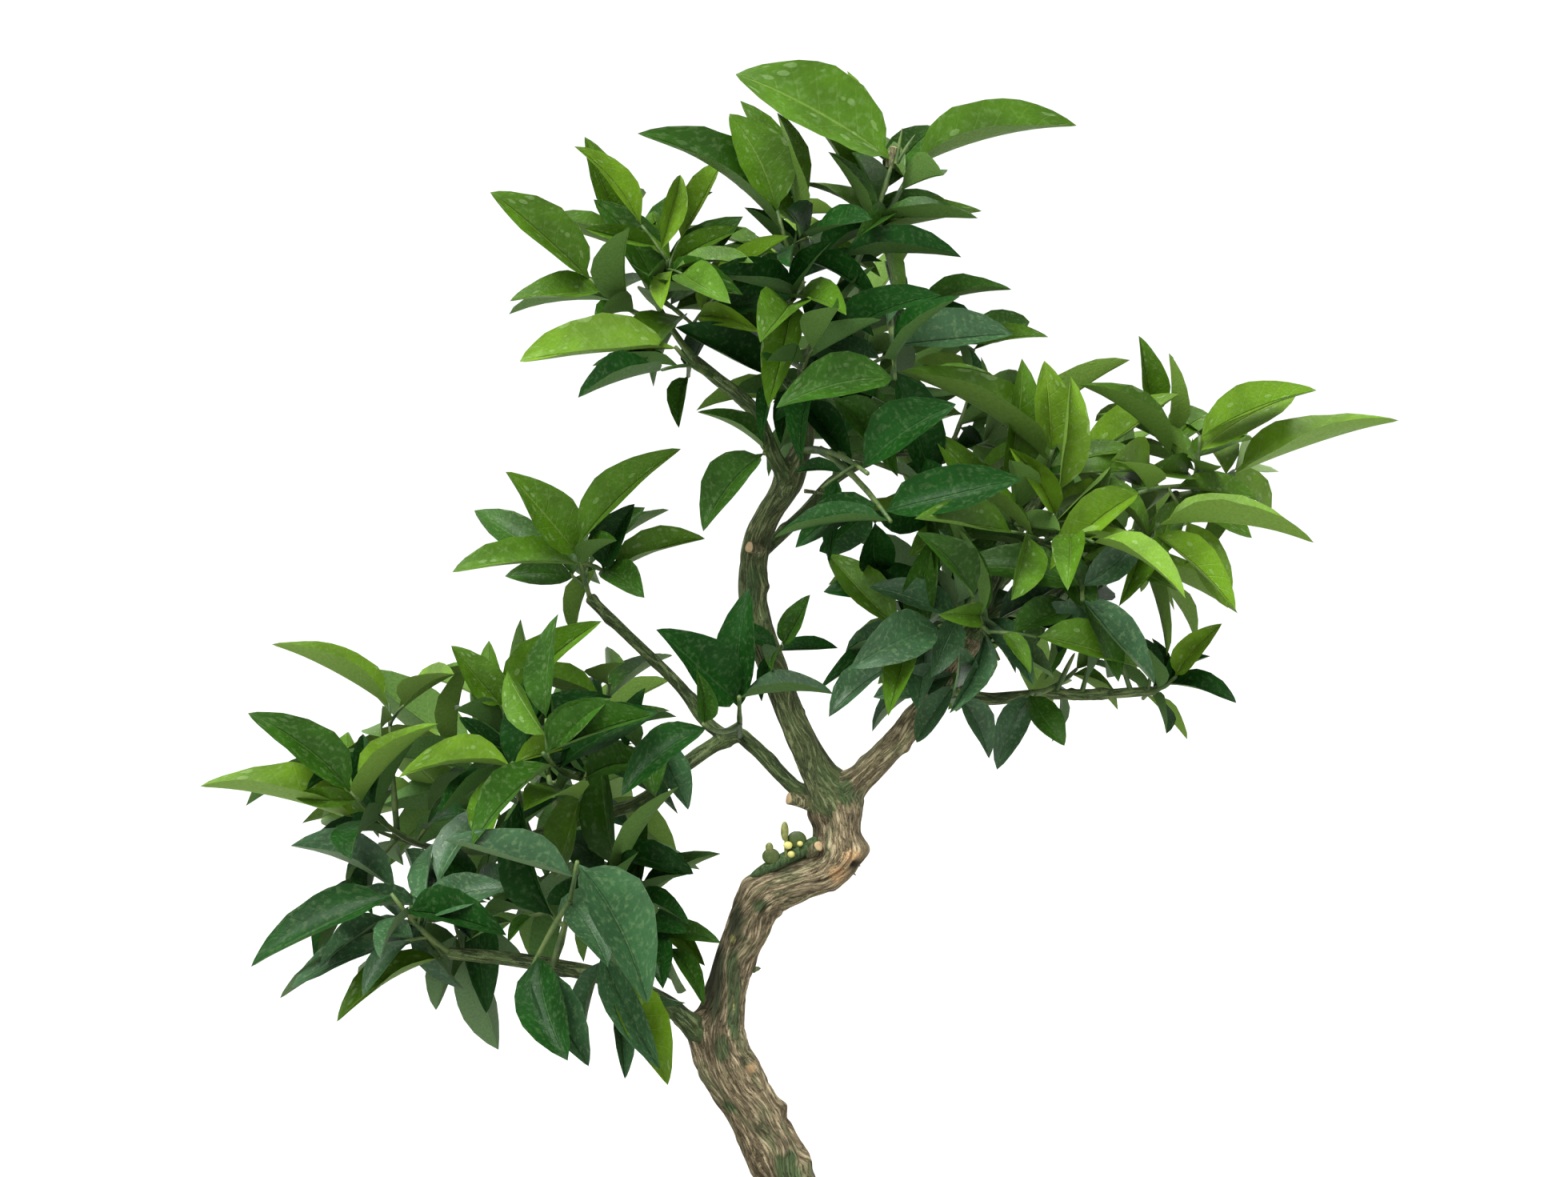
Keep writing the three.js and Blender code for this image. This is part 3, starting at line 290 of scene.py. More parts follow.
def shoot(tip, leaves, long, turn, close, open, *aims):
    depths = [tip[1] - aimDepth["first"] - aimDepth["apart"] * k for k in range(len(aims))]
    aims = [(x, y, z, *look) for (x, z, *look), y in zip(aims, depths)]
    return dict(tip=tip, leaves=leaves, long=long, turn=turn, close=close, open=open, aims=aims)


# A mass starts on a limb. It has tones for young, grown and old leaves, hangs by a share, and each
# of its shoots bears some lower leaves.
def mass(limb, share, tones, *shoots, hang=0, lower=2):
    return dict(start=(limb, share), tones=tones.split(), shoots=shoots, hang=hang, lower=lower)


masses = {
    "apex": mass(
        "leader", 1.0, "lime fresh mid",
        shoot((31, -6, 441), 1, 58, 140, 70, 55, (-19, 470, 0.5, 25, "fresh")),
        shoot((25, 4, 418), 4, 34, 270, 65, 100, (60, 426, 0.38, 30, "fresh")),
        shoot((38, 8, 441), 3, 38, 220, 35, 100, (91, 456, 0.38, 35, "fresh")),
        shoot((17, 26, 429), 5, 46, 10, 50, 70),
    ),
    "top_left": mass(
        "leader", 0.88, "fresh fresh deep",
        shoot((-7, -14, 423), 4, 48, 180, 20, 100, (-21, 454, 0.6, 15, "fresh"),
            (-50, 449, 0.38, 45, "mid")),
        shoot((1, 12, 415), 5, 52, 100, 50, 70),
        shoot((-3, -26, 391), 5, 39, 80, 20, 55),
    ),
    "left_top": mass(
        "bough_upper_left", 1.0, "lime fresh mid",
        shoot((-59, 6, 420), 4, 33, 130, 20, 70, (-68, 450, 0.6, 15, "fresh")),
        shoot((-68, -12, 401), 4, 44, 100, 20, 55, (-98, 430, 0.44, 25, "fresh"),
            (-93, 394, 0.44, 25, "fresh")),
        shoot((-42, -24, 406), 6, 44, 0, 65, 55),
        shoot((-34, -10, 386), 4, 42, 340, 80, 85),
    ),
    "left_mid": mass(
        "bough_upper_left", 0.75, "fresh mid deep",
        shoot((-39, -34, 377), 4, 54, 160, 20, 55, (-88, 373, 0.38, 40, "lime")),
        shoot((-36, -6, 370), 3, 30, 105, 20, 100, (-40, 353, 0.6, 20, "mid")),
        lower=0,
    ),
    "leader_top": mass(
        "leader", 0.74, "mid deep deep",
        shoot((-15, 20, 391), 6, 30, 300, 28, 70),
        shoot((-11, -24, 366), 5, 45, 120, 35, 55),
        shoot((3, -34, 368), 6, 52, 255, 28, 55),
        lower=0,
    ),
    "right_top": mass(
        "leader", 0.95, "mid deep dusk",
        shoot((40, 6, 393), 4, 29, 110, 20, 70, (70, 400, 0.4, 25, "mid")),
        shoot((59, 16, 380), 4, 28, 210, 20, 85, (83, 386, 0.38, 25, "fresh")),
        shoot((30, -46, 366), 5, 41, 140, 50, 85),
    ),
    "right_up": mass(
        "bough_right_upper", 1.0, "lime lime fresh",
        shoot((81, -26, 345), 5, 50, 240, 60, 70, (80, 373, 0.6, 15, "lime"),
            (32, 371, 0.38, 55, "fresh"), (105, 379, 0.42, 25, "deep")),
        shoot((93, -4, 341), 4, 38, 90, 50, 55, (123, 365, 0.38, 40, "lime")),
        shoot((78, 16, 358), 5, 43, 30, 50, 100),
    ),
    "right_outer": mass(
        "bough_right_outer", 1.0, "lime lime fresh",
        shoot((142, -10, 338), 3, 58, 140, 20, 100, (193, 357, 0.38, 50, "lime")),
        shoot((130, -14, 350), 4, 35, 40, 50, 70, (166, 366, 0.38, 30, "lime")),
        shoot((118, 6, 358), 4, 34, 190, 20, 70, (113, 384, 0.6, 15, "fresh")),
        shoot((108, -30, 331), 5, 40, 330, 20, 100),
    ),
    "right_mid": mass(
        "bough_right_upper", 0.66, "lime fresh mid",
        shoot((82, -38, 318), 6, 57, 165, 35, 100),
        shoot((57, -6, 326), 5, 50, 280, 65, 100),
    ),
    "right_edge": mass(
        "bough_right_outer", 0.7, "lime fresh fresh",
        shoot((114, -34, 321), 4, 56, 145, 35, 70, (162, 317, 0.38, 55, "lime"),
            (138, 295, 0.38, 25, "lime")),
        shoot((109, 8, 309), 6, 42, 335, 80, 100),
    ),
    "right_low": mass(
        "bough_right_outer", 0.5, "fresh mid dusk",
        shoot((88, -50, 297), 4, 46, 170, 20, 100, (111, 272, 0.48, 25, "dusk")),
        shoot((79, -2, 291), 5, 40, 135, 50, 100),
    ),
    "inner_right": mass(
        "bough_right", 0.93, "fresh mid dusk",
        shoot((50, -14, 298), 4, 45, 10, 60, 70, (8, 302, 0.38, 40, "deep")),
        shoot((31, -34, 288), 5, 34, 270, 65, 85),
        shoot((40, -6, 282), 3, 45, 130, 28, 55, (6, 270, 0.38, 25, "deep")),
        shoot((59, -50, 287), 5, 49, 285, 65, 55),
        lower=1,
    ),
    "right_hanging": mass(
        "bough_right", 0.8, "mid dusk dusk",
        shoot((50, -34, 267), 5, 29, 280, 80, 100),
        shoot((40, -2, 270), 4, 24, 130, 20, 55),
        hang=0.9, lower=0,
    ),
    "low_right_inner": mass(
        "bough_low_right", 0.5, "fresh fresh dusk",
        shoot((73, -22, 266), 4, 25, 10, 28, 55, (52, 240, 0.5, 25, "mid"), (85, 251, 0.47, 25, "mid")),
        shoot((92, 4, 274), 6, 22, 50, 20, 85),
        hang=0.8, lower=0,
    ),
    "low_right_tip": mass(
        "bough_low_right", 1.0, "lime fresh deep",
        shoot((123, -10, 272), 5, 26, 220, 35, 55, (136, 290, 0.6, 15, "lime"),
            (151, 286, 0.38, 40, "deep"), (141, 265, 0.38, 35, "deep")),
        shoot((115, 12, 264), 4, 22, 225, 65, 100),
    ),
    "leader_front": mass(
        "leader", 0.63, "mid deep deep",
        shoot((21, -58, 336), 4, 44, 245, 80, 100, (-13, 364, 0.44, 25, "deep"),
            (47, 358, 0.46, 25, "deep")),
        shoot((28, -64, 321), 4, 42, 210, 35, 100, (-8, 317, 0.38, 50, "deep")),
        shoot((39, -24, 335), 5, 36, 130, 50, 55),
        lower=0,
    ),
    "sprout": mass(
        "leader", 0.25, "mid mid deep",
        shoot((-5, -10, 282), 3, 22, 320, 20, 70, (3, 299, 0.53, 25, "mid")),
    ),
    "isolated": mass(
        "bough_isolated", 1.0, "lime fresh mid",
        shoot((-73, 2, 315), 6, 48, 40, 35, 55, (-40, 348, 0.38, 25, "fresh"),
            (-94, 340, 0.52, 25, "fresh"), (-113, 308, 0.38, 45, "fresh"),
            (-113, 341, 0.38, 45, "fresh")),
        shoot((-62, 8, 305), 4, 36, 260, 65, 70, (-31, 318, 0.38, 30, "fresh"),
            (-55, 329, 0.6, 15, "deep")),
    ),
    "before_leader": mass(
        "bough_mid_left", 0.38, "mid deep deep",
        shoot((-19, -26, 266), 4, 35, 15, 20, 55, (11, 268, 0.38, 55, "deep"),
            (-44, 289, 0.56, 25, "deep")),
        shoot((-30, -40, 258), 3, 32, 270, 35, 70, (-31, 275, 0.6, 15, "mid")),
        lower=0,
    ),
    "under_left": mass(
        "bough_upper_left", 0.28, "mid deep deep",
        shoot((-11, -18, 344), 4, 36, 200, 50, 55, (-32, 320, 0.55, 25, "mid"),
            (-32, 358, 0.4, 25, "mid")),
        lower=0,
    ),
    "far_left": mass(
        "bough_mid_left", 1.0, "lime fresh deep",
        shoot((-145, 6, 223), 4, 56, 120, 50, 100, (-196, 238, 0.38, 50, "lime")),
        shoot((-137, 16, 262), 4, 46, 350, 50, 100, (-174, 284, 0.38, 55, "lime")),
        shoot((-145, -14, 235), 4, 42, 50, 50, 55, (-175, 263, 0.41, 25, "mid")),
    ),
    "left_upper": mass(
        "bough_mid_left", 0.94, "lime fresh deep",
        shoot((-96, -12, 263), 5, 34, 20, 35, 55, (-111, 283, 0.6, 15, "fresh"),
            (-65, 292, 0.38, 25, "fresh")),
        shoot((-91, -30, 245), 5, 33, 230, 80, 55),
        shoot((-118, 26, 248), 5, 36, 30, 35, 70),
    ),
    "left_inner": mass(
        "bough_mid_left", 0.82, "fresh mid deep",
        shoot((-63, 12, 269), 6, 34, 120, 65, 70),
        shoot((-80, -44, 249), 4, 46, 150, 65, 55, (-46, 263, 0.51, 25, "mid")),
        shoot((-71, -16, 232), 5, 40, 105, 50, 85),
        shoot((-46, -4, 250), 4, 29, 0, 50, 55, (-35, 229, 0.6, 15, "dusk")),
    ),
    "left_hanging": mass(
        "bough_lower_left", 1.0, "fresh deep dusk",
        shoot((-129, -34, 204), 4, 52, 270, 50, 55, (-173, 183, 0.38, 35, "deep"),
            (-91, 194, 0.47, 25, "deep")),
        shoot((-127, -10, 191), 3, 42, 200, 50, 70, (-168, 169, 0.38, 65, "dusk")),
        shoot((-114, -22, 182), 4, 38, 120, 80, 85, (-148, 164, 0.38, 60, "fresh"),
            (-129, 158, 0.46, 25, "mid")),
        shoot((-104, -6, 197), 4, 53, 270, 35, 100, (-99, 163, 0.39, 25, "deep")),
        hang=0.35,
    ),
    "low_front": mass(
        "bough_lower_left", 0.74, "mid deep dusk",
        shoot((-68, -62, 217), 2, 46, 230, 80, 55, (-43, 176, 0.6, 15, "dusk")),
        shoot((-84, -44, 181), 3, 40, 240, 50, 85, (-64, 153, 0.6, 15, "dusk")),
        shoot((-56, -32, 173), 4, 42, 350, 20, 55, (-54, 146, 0.46, 25, "dusk"),
            (-39, 146, 0.57, 25, "lime")),
        shoot((-79, -30, 198), 4, 43, 10, 80, 70),
        hang=0.6,
    ),
    "near_trunk": mass(
        "bough_lower_left", 0.5, "fresh mid deep",
        shoot((-61, 2, 215), 4, 43, 280, 20, 55, (-34, 208, 0.38, 35, "deep")),
        shoot((-46, 16, 195), 6, 29, 80, 80, 100),
        shoot((-40, -2, 180), 5, 24, 300, 20, 55),
    ),
    "back_top": mass(
        "bough_center", 0.5, "fresh mid deep",
        shoot((15, 62, 384), 6, 49, 170, 35, 100),
        shoot((-3, 56, 366), 5, 34, 50, 65, 100),
        shoot((32, 66, 367), 5, 45, 310, 35, 85),
    ),
    "back_middle": mass(
        "bough_center", 1.0, "fresh mid deep",
        shoot((60, 62, 367), 5, 45, 210, 65, 100),
        shoot((70, 48, 349), 5, 33, 140, 20, 85),
    ),
    "back_right": mass(
        "bough_back_right", 1.0, "fresh mid deep",
        shoot((99, 84, 331), 5, 38, 130, 20, 55),
        shoot((114, 66, 313), 5, 43, 250, 35, 100),
        shoot((81, 82, 294), 5, 39, 345, 35, 70),
    ),
    "back_inner": mass(
        "bough_back_right", 0.5, "mid deep dusk",
        shoot((51, 58, 308), 5, 45, 230, 65, 70),
        shoot((67, 50, 283), 5, 32, 210, 50, 100),
    ),
    "back_left": mass(
        "bough_mid_left", 0.88, "fresh mid deep",
        shoot((-91, 78, 245), 5, 52, 70, 50, 55),
        shoot((-67, 70, 226), 5, 36, 120, 20, 100),
        shoot((-113, 76, 225), 5, 64, 110, 65, 55),
    ),
    "back_low": mass(
        "bough_mid_left", 0.7, "mid deep dusk",
        shoot((-66, 56, 196), 5, 31, 105, 50, 85),
        shoot((-86, 60, 193), 5, 45, 130, 20, 55),
        hang=0.5,
    ),
}
masses = {"foliage_" + name: each for name, each in masses.items()}

# How the tree grows, by the same rule as its solids

rootFlare = dict(reach=0.04, buttresses=5, depth=0.3)
limbSpots = 40
twigRule = dict(tip=0.8, perLength=0.011, most=1.5, ofLimb=0.75, checks=6)
forkRule = dict(first=0.3, span=0.45)
sagRule = dict(rising=0.14, falling=-0.084)
firstSeed = 3
spiral = 137.5
spacing = dict(first=0.6, share=0.11, mostOfRun=0.85, nearest=0.05)
turnsTried = (0, 22, -22, 44, -44)
vary = dict(around=24, lean=14, ageing=0.8)
droop = dict(level=0.15, young=0.4, old=0.6)
facing = dict(shoot=0.4, outward=0.95, jitter=0.7, edgeOn=0.03, x=0.6, y=1.5, front=40)
leafRange = dict(long=(0.86, 0.24), wide=(0.43, 0.11), curl=(0.1, 0.2), fold=(18, 24))
bladeRule = dict(widest=0.42, neck=0.14, reach=0.6, clear=1.0)


def unit(v):
    return v / max(math.sqrt(v.dot(v)), 1e-9)


# The same number between 0 and 1 for the same pair, the fraction of a large sine
def chance(a, b):
    wave = math.sin(a * 127.1 + b * 311.7) * 43758.5453
    return wave - math.floor(wave)


# Points a share of the way along a smooth curve through the course: each stretch is a cubic
# whose ends slope as half the step between their neighbours, and the ends are mirrored
def alongCourse(course, share):
    p = np.asarray(course, float)
    p = np.vstack([2 * p[0] - p[1], p, 2 * p[-1] - p[-2]])
    stretches = len(p) - 3
    u = np.clip(np.atleast_1d(share), 0, 1) * stretches
    i = np.minimum(u.astype(int), stretches - 1)
    w = (u - i)[:, None]
    before, a, b, after = p[i], p[i + 1], p[i + 2], p[i + 3]
    slopeA, slopeB = (b - before) / 2, (after - a) / 2
    cubic = (2 * a - 2 * b + slopeA + slopeB) * w ** 3
    return cubic + (-3 * a + 3 * b - 2 * slopeA - slopeB) * w ** 2 + slopeA * w + a


def limbCourse(name):
    start = limbs[name]["start"]
    return [tuple(placeOn(*start)), *limbs[name]["course"]] if start else limbs[name]["course"]


def placeOn(name, share):
    return alongCourse(limbCourse(name), share)[0]


# From thick to thin by a power of the share, a bell at each swelling, and at the foot a flare
# that dies away and stands out in buttresses
def limbRadius(name, share, around=None):
    limb = limbs[name]
    share = np.asarray(share, float)
    thick, thin = limb["radius"]
    radius = thick + (thin - thick) * share ** limb["taper"]
    for place, extra, spread in limb["swell"]:
        radius = radius + extra * np.exp(-((share - place) / spread) ** 2)
    buttress = 1.0
    if around is not None:
        buttress = 1 + rootFlare["depth"] * np.cos(rootFlare["buttresses"] * around)
    return radius + limb["flare"] * np.exp(-share / rootFlare["reach"]) * buttress


def bend(curve, share):
    a, middle, b = curve
    return (1 - share) ** 2 * a + 2 * share * (1 - share) * middle + share * share * b


def shootCurves(mass, seed):
    curves = []
    for k, shoot in enumerate(mass["shoots"]):
        tip = np.array(shoot["tip"], float)
        start = placeOn(*mass["start"])
        if k:
            start = bend(curves[0], forkRule["first"] + forkRule["span"] * chance(seed, k + 0.5))
        rising = sagRule["rising"] if tip[2] > start[2] else sagRule["falling"]
        drop = np.linalg.norm(tip - start) * rising
        curves.append((start, (start + tip) / 2 - up * drop, tip))
    return curves


# One leaf's place on its shoot: a spiral from the tip back, leaning away the more the older
def leafPlace(mass, seed, k, curve, i, nudge=0.0):
    shoot = mass["shoots"][k]
    key = seed + 10 * k
    count = shoot["leaves"]
    run = np.linalg.norm(curve[2] - curve[0])
    gap = min(spacing["share"] * shoot["long"], spacing["mostOfRun"] * run / count)
    base = bend(curve, max(1 - (spacing["first"] + i * gap) / run, spacing["nearest"]))
    axis = unit(curve[2] - curve[1])
    age = i / max(count - 1, 1)
    stray = vary["around"] * (chance(key, i + 1.1) - 0.5)
    around = math.radians(shoot["turn"] + spiral * i + stray + nudge)
    lean = shoot["close"] + (shoot["open"] - shoot["close"]) * age ** vary["ageing"]
    away = math.radians(lean + vary["lean"] * (chance(key, i + 2.2) - 0.5))
    sideways = unit(np.cross(axis, [0.3, 1.0, 0.1]))
    other = np.cross(axis, sideways)
    outwards = math.cos(around) * sideways + math.sin(around) * other
    along = math.cos(away) * axis + math.sin(away) * outwards
    along = unit(along + up * (droop["level"] - mass["hang"]) * (droop["young"] + droop["old"] * age))
    outward = unit(np.array([facing["x"] * base[0], facing["y"] * base[1] - facing["front"], 0.0]))
    jitter = np.array([chance(key, i + 3.3) - 0.5, chance(key, i + 4.4) - 0.5, 0])
    wish = unit(axis * facing["shoot"] + up + outward * facing["outward"] + facing["jitter"] * jitter)
    face = wish - along * wish.dot(along)
    if face.dot(face) < facing["edgeOn"]:
        face = outward - along * outward.dot(along)

    def pick(name, place):
        least, span = leafRange[name]
        return least + span * chance(key, i + place)

    leaf = dict(
        base=base, along=along, face=unit(face), long=shoot["long"] * pick("long", 5.5),
        wide=pick("wide", 6.6), curl=pick("curl", 7.7), fold=math.radians(pick("fold", 8.8)),
        age=age, key=key + 0.37 * i, isAimed=False,
    )
    aims = shoot["aims"]
    return aimedLeaf(leaf, *aims[i]) if i < len(aims) else leaf


# A leaf that stands out of the crown ends at its own tip, its face to the front and tilted up,
# with the curl as a bow over the straight line from foot to tip
def aimedLeaf(leaf, x, y, z, wide, tilt, tone):
    chord = np.array([x, y, z]) - leaf["base"]
    ahead = unit(chord)
    tilt = math.radians(tilt)
    look = np.array([0, -math.cos(tilt), math.sin(tilt)])
    look = unit(look - ahead * look.dot(ahead))
    bow = math.hypot(1, leaf["curl"])
    along = (ahead + look * leaf["curl"]) / bow
    face = (look - ahead * leaf["curl"]) / bow
    long = np.linalg.norm(chord) / bow
    return dict(leaf, along=along, face=face, wide=wide, long=long, isAimed=True, tone=tone)


def leafPoint(leaf, share, across=0.0):
    half = leaf["wide"] * leaf["long"] / 2
    rise = abs(across) * half * math.sin(leaf["fold"]) - share ** 2 * leaf["long"] * leaf["curl"]
    side = np.cross(leaf["face"], leaf["along"])
    point = leaf["base"] + leaf["along"] * share * leaf["long"]
    return point + side * across * half * math.cos(leaf["fold"]) + leaf["face"] * rise


# The thin net that tells whether leaves cross: neck, left, right, tip and middle
netFaces = np.array([(0, 1, 4), (1, 3, 4), (3, 2, 4), (2, 0, 4)])
netEdges = np.array([(0, 1), (1, 3), (3, 2), (2, 0), (0, 4), (4, 3)])


def leafNet(leaf):
    widest = bladeRule["widest"]
    return np.array([
        leafPoint(leaf, bladeRule["neck"]), leafPoint(leaf, widest, -1), leafPoint(leaf, widest, 1),
        leafPoint(leaf, 1), leafPoint(leaf, widest),
    ])


# Whether lines a to b go through triangles p, q, r: the crossing lies inside both
def pierces(a, b, p, q, r):
    line, one, two, offset = b - a, q - p, r - p, a - p
    normal = np.cross(line, two)
    size = (one * normal).sum(-1)
    size = np.where(np.abs(size) < 1e-9, np.nan, size)
    u = (offset * normal).sum(-1) / size
    turned = np.cross(offset, one)
    v = (line * turned).sum(-1) / size
    share = (two * turned).sum(-1) / size
    with np.errstate(invalid="ignore"):
        return (u >= 0) & (v >= 0) & (u + v <= 1) & (share >= 0) & (share <= 1)


def crosses(edgeNet, faceNet):
    a = edgeNet[..., netEdges[:, 0], :][..., :, None, :]
    b = edgeNet[..., netEdges[:, 1], :][..., :, None, :]
    corners = faceNet[..., netFaces, :]
    p, q, r = (corners[..., None, :, k, :] for k in range(3))
    return pierces(a, b, p, q, r).any(axis=(-1, -2))


# What a new leaf has to stay free of: limbs, twigs, and the leaves that are already there
class Crown:
    def __init__(self):
        shares = np.linspace(0, 1, limbSpots + 1)
        self.spots = np.vstack([alongCourse(limbCourse(name), shares) for name in limbs])
        self.radii = np.concatenate([limbRadius(name, shares) for name in limbs])
        self.parts = []
        for order, (name, mass) in enumerate(masses.items()):
            seed = firstSeed + order
            self.parts.append(dict(name=name, mass=mass, seed=seed, curves=shootCurves(mass, seed)))
        self.twigEdges = []
        for part in self.parts:
            for curve in part["curves"]:
                self.addTwig(curve)
        self.nets = np.zeros((0, 5, 3))
        self.reach = np.zeros(0)

    def addTwig(self, curve):
        points = [bend(curve, j / twigRule["checks"]) for j in range(twigRule["checks"] + 1)]
        self.twigEdges += list(zip(points[:-1], points[1:]))

    def isFree(self, net, reach):
        middles = (net[netEdges[:, 0]] + net[netEdges[:, 1]]) / 2
        checked = np.vstack([net, middles])
        far = np.linalg.norm(checked[:, None] - self.spots[None], axis=-1)
        if (far < self.radii + bladeRule["clear"]).any():
            return False
        edges = np.array(self.twigEdges)
        p, q, r = (net[netFaces[:, k]][None] for k in range(3))
        if pierces(edges[:, None, 0], edges[:, None, 1], p, q, r).any():
            return False
        near = np.linalg.norm(self.nets[:, 4] - net[4], axis=-1) <= self.reach + reach
        others = self.nets[near]
        if not len(others):
            return True
        return not (crosses(net[None], others).any() or crosses(others, net[None]).any())

    def add(self, leaf):
        net = leafNet(leaf)
        reach = bladeRule["reach"] * leaf["long"]
        if not self.isFree(net, reach):
            return False
        self.nets = np.concatenate([self.nets, net[None]])
        self.reach = np.append(self.reach, reach)
        return True


# The leaves in the order of the solids: the youngest of every shoot before the older ones
def growLeaves(crown):
    grown = []
    oldest = max(shoot["leaves"] for mass in masses.values() for shoot in mass["shoots"])
    for i in range(oldest):
        for part in crown.parts:
            for k, shoot in enumerate(part["mass"]["shoots"]):
                if i >= shoot["leaves"]:
                    continue
                for nudge in turnsTried:
                    leaf = leafPlace(part["mass"], part["seed"], k, part["curves"][k], i, nudge)
                    if crown.add(leaf):
                        leaf["part"] = part
                        grown.append(leaf)
                        break
    return grown


# Where a big leaf of the solids stands for several, a fine twig carries three smaller ones, and
# each shoot bears a few more small leaves lower down
spray = dict(
    longerThan=43.0, twig=0.30, twigBow=0.06, endLeaf=0.72, sideLeaf=0.56, sideAngle=46, sideSpread=16,
    sideTilt=0.5, sidePlace=0.42, sideShift=0.2, sideRange=(0.85, 0.3), sideOlder=0.15, sideKey=0.11,
    lowerLong=0.8, lowerPlace=0.72, lowerApart=0.24, lowerStray=0.1, wide=0.92,
)


# A direction turned by an angle towards a second one at right angles to it
def turned(along, towards, angle):
    return unit(math.cos(angle) * along + math.sin(angle) * towards)


def sprayOf(leaf):
    side = np.cross(leaf["face"], leaf["along"])
    reach = leaf["long"] * spray["twig"]
    end = leaf["base"] + leaf["along"] * reach
    twig = (leaf["base"], (leaf["base"] + end) / 2 + leaf["face"] * reach * spray["twigBow"], end)
    leaves = [dict(leaf, base=end, long=leaf["long"] * spray["endLeaf"])]
    least, span = spray["sideRange"]
    for hand in (-1, 1):
        pick = chance(leaf["key"], 3.7 + hand)
        angle = math.radians(spray["sideAngle"] + spray["sideSpread"] * (pick - 0.5))
        along = turned(leaf["along"], side * hand, angle)
        tilt = spray["sideTilt"] * (chance(leaf["key"], 8.1 + hand) - 0.25) * hand
        face = unit(leaf["face"] + side * tilt)
        face = unit(face - along * face.dot(along))
        place = spray["sidePlace"] + spray["sideShift"] * hand * (pick - 0.2)
        leaves.append(dict(
            leaf, base=bend(twig, place), along=along, face=face,
            long=leaf["long"] * spray["sideLeaf"] * (least + span * pick),
            key=leaf["key"] + spray["sideKey"] * hand, age=min(leaf["age"] + spray["sideOlder"], 1),
        ))
    return twig, leaves


def growSprays(crown, first):
    leaves, twigs = [], []
    for leaf in first:
        if leaf["long"] < spray["longerThan"] or leaf["isAimed"]:
            leaves.append(leaf)
            continue
        twig, parts = sprayOf(leaf)
        leaves += [dict(part, twig=len(twigs)) for part in parts]
        twigs.append(twig)
    for part in crown.parts:
        for k, shoot in enumerate(part["mass"]["shoots"]):
            for extra in range(part["mass"]["lower"]):
                i = shoot["leaves"] + extra
                for nudge in turnsTried:
                    leaf = leafPlace(part["mass"], part["seed"], k, part["curves"][k], i, nudge)
                    long = min(leaf["long"], spray["longerThan"] * 0.8) * spray["lowerLong"]
                    where = spray["lowerPlace"] - spray["lowerApart"] * extra
                    where -= spray["lowerStray"] * chance(leaf["key"], 2.9)
                    base = bend(part["curves"][k], where)
                    leaf.update(base=base, long=long, age=1.0, part=part)
                    if crown.add(leaf):
                        leaves.append(leaf)
                        break
    return leaves, twigs


# Where the photograph shows wood between the leaves: the left, top, right and bottom of the
# opening in it, and the depth of the wood
openings = dict(
    leader=(918, 560, 1000, 735, 0), upperLeft=(830, 455, 930, 560, -8), crotch=(850, 880, 930, 990, 14),
    lowerLeft=(540, 1175, 740, 1235, -20), lowRight=(1215, 845, 1430, 885, -2),
)
midribShares = (0.35, 0.6, 0.85)
shorterShares = (1.0, 0.72, 0.5)


# A leaf hides wood when its midrib passes in front of an opening
def hidesWood(leaf):
    for share in midribShares:
        x, y, z = leafPoint(leaf, share)
        scale = photo["pixelsPerMm"] * view["away"] / (view["away"] + y)
        across = photo["width"] / 2 + (x - view["x"]) * scale
        down = photo["height"] / 2 - (z - view["z"]) * scale
        for left, top, right, bottom, depth in openings.values():
            if left < across < right and top < down < bottom and y < depth:
                return True
    return False


# A leaf that hides wood gives way to a shorter one, or to none when that would hide it too
def clearOfWood(leaves):
    kept = []
    for leaf in leaves:
        for share in shorterShares:
            shorter = dict(leaf, long=leaf["long"] * share)
            if leaf["isAimed"] or not hidesWood(shorter):
                kept.append(shorter)
                break
    return kept


crown = Crown()
firstLeaves = growLeaves(crown)
allLeaves, fineTwigs = growSprays(crown, firstLeaves)
grownCount = len(allLeaves)
allLeaves = clearOfWood(allLeaves)
stillUsed = {leaf.get("twig") for leaf in allLeaves}
fineTwigs = [twig for place, twig in enumerate(fineTwigs) if place in stillUsed]
print("leaves:", len(firstLeaves), "in the solids' places,", grownCount, "grown,", len(allLeaves), "kept")

# Meshes


# A mesh from points in millimetres and lists of faces, with a flat map for each face's corners
# and numbers for each point
def newPiece(name, points, faces, finish, flat=None, numbers=None, sharp=None):
    mesh = bpy.data.meshes.new(name)
    mesh.from_pydata((np.asarray(points) * mm).tolist(), [], [f for part in faces for f in part.tolist()])
    mesh.polygons.foreach_set("use_smooth", np.ones(len(mesh.polygons), bool))
    if flat:
        corners = np.concatenate([part.reshape(-1, 2) for part in flat])
        mesh.uv_layers.new(name="OFBake").data.foreach_set("uv", corners.astype(np.float32).ravel())
    for key, values in (numbers or {}).items():
        kind, field = ("FLOAT_VECTOR", "vector") if values.ndim == 2 else ("FLOAT", "value")
        mesh.attributes.new(key, kind, "POINT").data.foreach_set(field, values.astype(np.float32).ravel())
    if sharp:
        mesh.set_sharp_from_angle(angle=math.radians(sharp))
    mesh.materials.append(finish)
    piece = putInScene(name, mesh)
    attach(piece, "root")
    return piece


# Even angles round a ring, and the directions out of a path at them
def turnsRound(count):
    return np.linspace(0, 2 * math.pi, count, endpoint=False)


